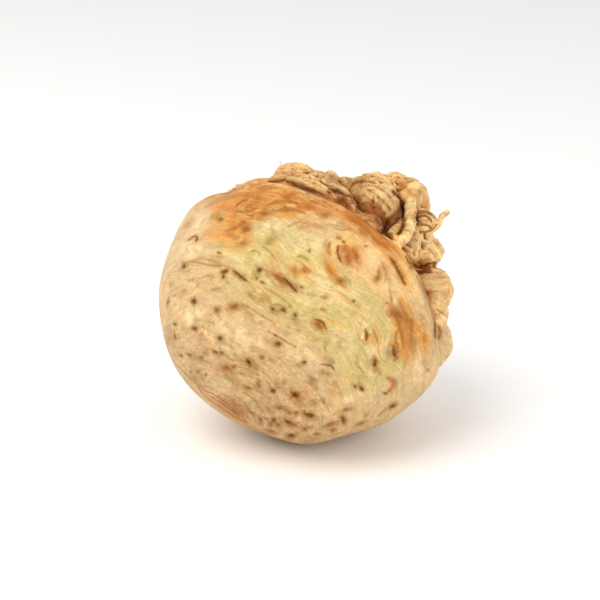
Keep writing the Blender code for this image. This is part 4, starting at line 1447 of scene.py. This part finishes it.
def scattered_rootlets(tree):
    """Fine rootlets among the hidden lobes and stumps, half sunk, most of them lying along the skin."""
    draw = random.Random(ROOTLET_SEED)
    turn = lying_turn()
    for longitude, latitude in spread_places(ROOTLET_COUNT, ROOTLET_LONGITUDES, ROOTLET_LATITUDES):
        out = turn @ toward(longitude + draw.uniform(-ROOTLET_JITTER, ROOTLET_JITTER), latitude)
        heading = out.orthogonal()
        heading.rotate(Matrix.Rotation(draw.uniform(0, 2 * math.pi), 3, out))
        length = draw.uniform(*ROOTLET_LENGTH) * MM
        radius = draw.uniform(*ROOTLET_RADIUS) * MM
        lift = draw.uniform(0.0, ROOTLET_LIFT)
        points = []
        for share in np.linspace(0, 1, ROOTLET_POINTS):
            above = BODY_CENTRE + out * BODY_RADIUS * ROOTLET_RAY_START + heading * length * share
            waves = [noise.noise(Vector((axis, longitude, share * ROOTLET_WAVES))) for axis in range(3)]
            raised = radius * ROOTLET_SUNK + lift * length * share ** 2
            hit = tree.ray_cast(above, -out)[0]
            points.append(hit + out * raised + Vector(waves) * ROOTLET_BEND * share)
        sunk = (points[0] - BODY_CENTRE).length < ROOTLET_FOOT
        if sunk and max((b - a).length for a, b in zip(points, points[1:])) < ROOTLET_LEAP:
            yield rootlet_form(points, radius, ROOTLET_TAPER)


class CELERIAC_OT_skin(bpy.types.Operator):
    """Shape the whole skin and give it its finish"""

    bl_idname = "celeriac.skin"
    bl_label = "Skin"

    def execute(self, context):
        settings = context.scene.celeriac_skin
        skin = shape_skin(settings)
        skin.data.materials.append(washed_root_skin("washed_root_skin", settings))
        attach(skin, BODY)
        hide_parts(NODE)
        return {"FINISHED"}


class CELERIAC_OT_rootlets(bpy.types.Operator):
    """Lay the rootlets on the skin, which has to be there already"""

    bl_idname = "celeriac.rootlets"
    bl_label = "Rootlets"

    def execute(self, context):
        skin = bpy.data.objects[SKIN_PIECE].data
        corners = [vertex.co for vertex in skin.vertices]
        tree = BVHTree.FromPolygons(corners, [face.vertices for face in skin.polygons])
        forms = [*seen_rootlets(tree), *scattered_rootlets(tree)]
        rootlets = bpy.data.objects.new("rootlets", mesh_from("rootlets", forms))
        context.scene.collection.objects.link(rootlets)
        keep_in_box(rootlets.data)
        rootlets.data.shade_smooth()
        rootlets.data.materials.append(dry_rootlet_bark("dry_rootlet_bark", context.scene.celeriac_skin))
        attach(rootlets, BODY)
        return {"FINISHED"}


def soft_lamp(name, power, size, place):
    """A large round lamp that points at the ball."""
    lamp = bpy.data.lights.new(name, "AREA")
    lamp.shape = "DISK"
    lamp.size = size
    lamp.energy = power
    obj = bpy.data.objects.new(name, lamp)
    bpy.context.scene.collection.objects.link(obj)
    obj.location = place
    obj.rotation_euler = (Vector(place) - BODY_CENTRE).to_track_quat("Z", "Y").to_euler()


class CELERIAC_OT_stage(bpy.types.Operator):
    """Lay the floor, hang the lamps and set the camera"""

    bl_idname = "celeriac.stage"
    bl_label = "Stage"

    def execute(self, context):
        scene = context.scene
        settings = scene.celeriac_stage
        half = settings.floor_size / 2
        corners = [(-half, -half, 0), (half, -half, 0), (half, half, 0), (-half, half, 0)]
        mesh = bpy.data.meshes.new("floor")
        mesh.from_pydata(corners, [], [(0, 1, 2, 3)])
        floor = bpy.data.objects.new("floor", mesh)
        scene.collection.objects.link(floor)
        mesh.materials.append(plain_matt_paint("plain_matt_paint", settings.floor_colour))

        world = bpy.data.worlds.new("studio")
        scene.world = world
        world.use_nodes = True
        background = world.node_tree.nodes["Background"]
        background.inputs["Color"].default_value = (1, 1, 1, 1)
        background.inputs["Strength"].default_value = settings.sky_strength
        for name, size, place in LAMPS:
            soft_lamp(name, getattr(settings, f"{name}_power"), size, place)

        camera = bpy.data.objects.new("camera", bpy.data.cameras.new("camera"))
        scene.collection.objects.link(camera)
        camera.data.sensor_width = SENSOR_WIDTH
        camera.data.lens = SENSOR_WIDTH * frame_reach() / FRAME_PIXELS
        camera.matrix_world = camera_matrix()
        scene.camera = camera
        scene.view_settings.view_transform = "Standard"
        return {"FINISHED"}


class CELERIAC_PT_panel(bpy.types.Panel):
    """The celeriac's pieces and its stage"""

    bl_idname = "CELERIAC_PT_panel"
    bl_label = "Celeriac"
    bl_space_type = "VIEW_3D"
    bl_region_type = "UI"
    bl_category = "Celeriac"

    def draw(self, context):
        for settings, operators in (
            (context.scene.celeriac_skin, (CELERIAC_OT_skin, CELERIAC_OT_rootlets)),
            (context.scene.celeriac_stage, (CELERIAC_OT_stage,)),
        ):
            box = self.layout.box()
            for name in settings.__annotations__:
                box.prop(settings, name)
            for operator in operators:
                box.operator(operator.bl_idname)


CLASSES = (
    CeleriacSkinSettings,
    CeleriacStageSettings,
    CELERIAC_OT_skin,
    CELERIAC_OT_rootlets,
    CELERIAC_OT_stage,
    CELERIAC_PT_panel,
)


def register():
    for each in CLASSES:
        bpy.utils.register_class(each)
    bpy.types.Scene.celeriac_skin = bpy.props.PointerProperty(type=CeleriacSkinSettings)
    bpy.types.Scene.celeriac_stage = bpy.props.PointerProperty(type=CeleriacStageSettings)


def unregister():
    del bpy.types.Scene.celeriac_stage
    del bpy.types.Scene.celeriac_skin
    for each in reversed(CLASSES):
        bpy.utils.unregister_class(each)


def main():
    register()
    bpy.ops.celeriac.skin()
    bpy.ops.celeriac.rootlets()
    bpy.ops.celeriac.stage()


if __name__ == "__main__":
    main()
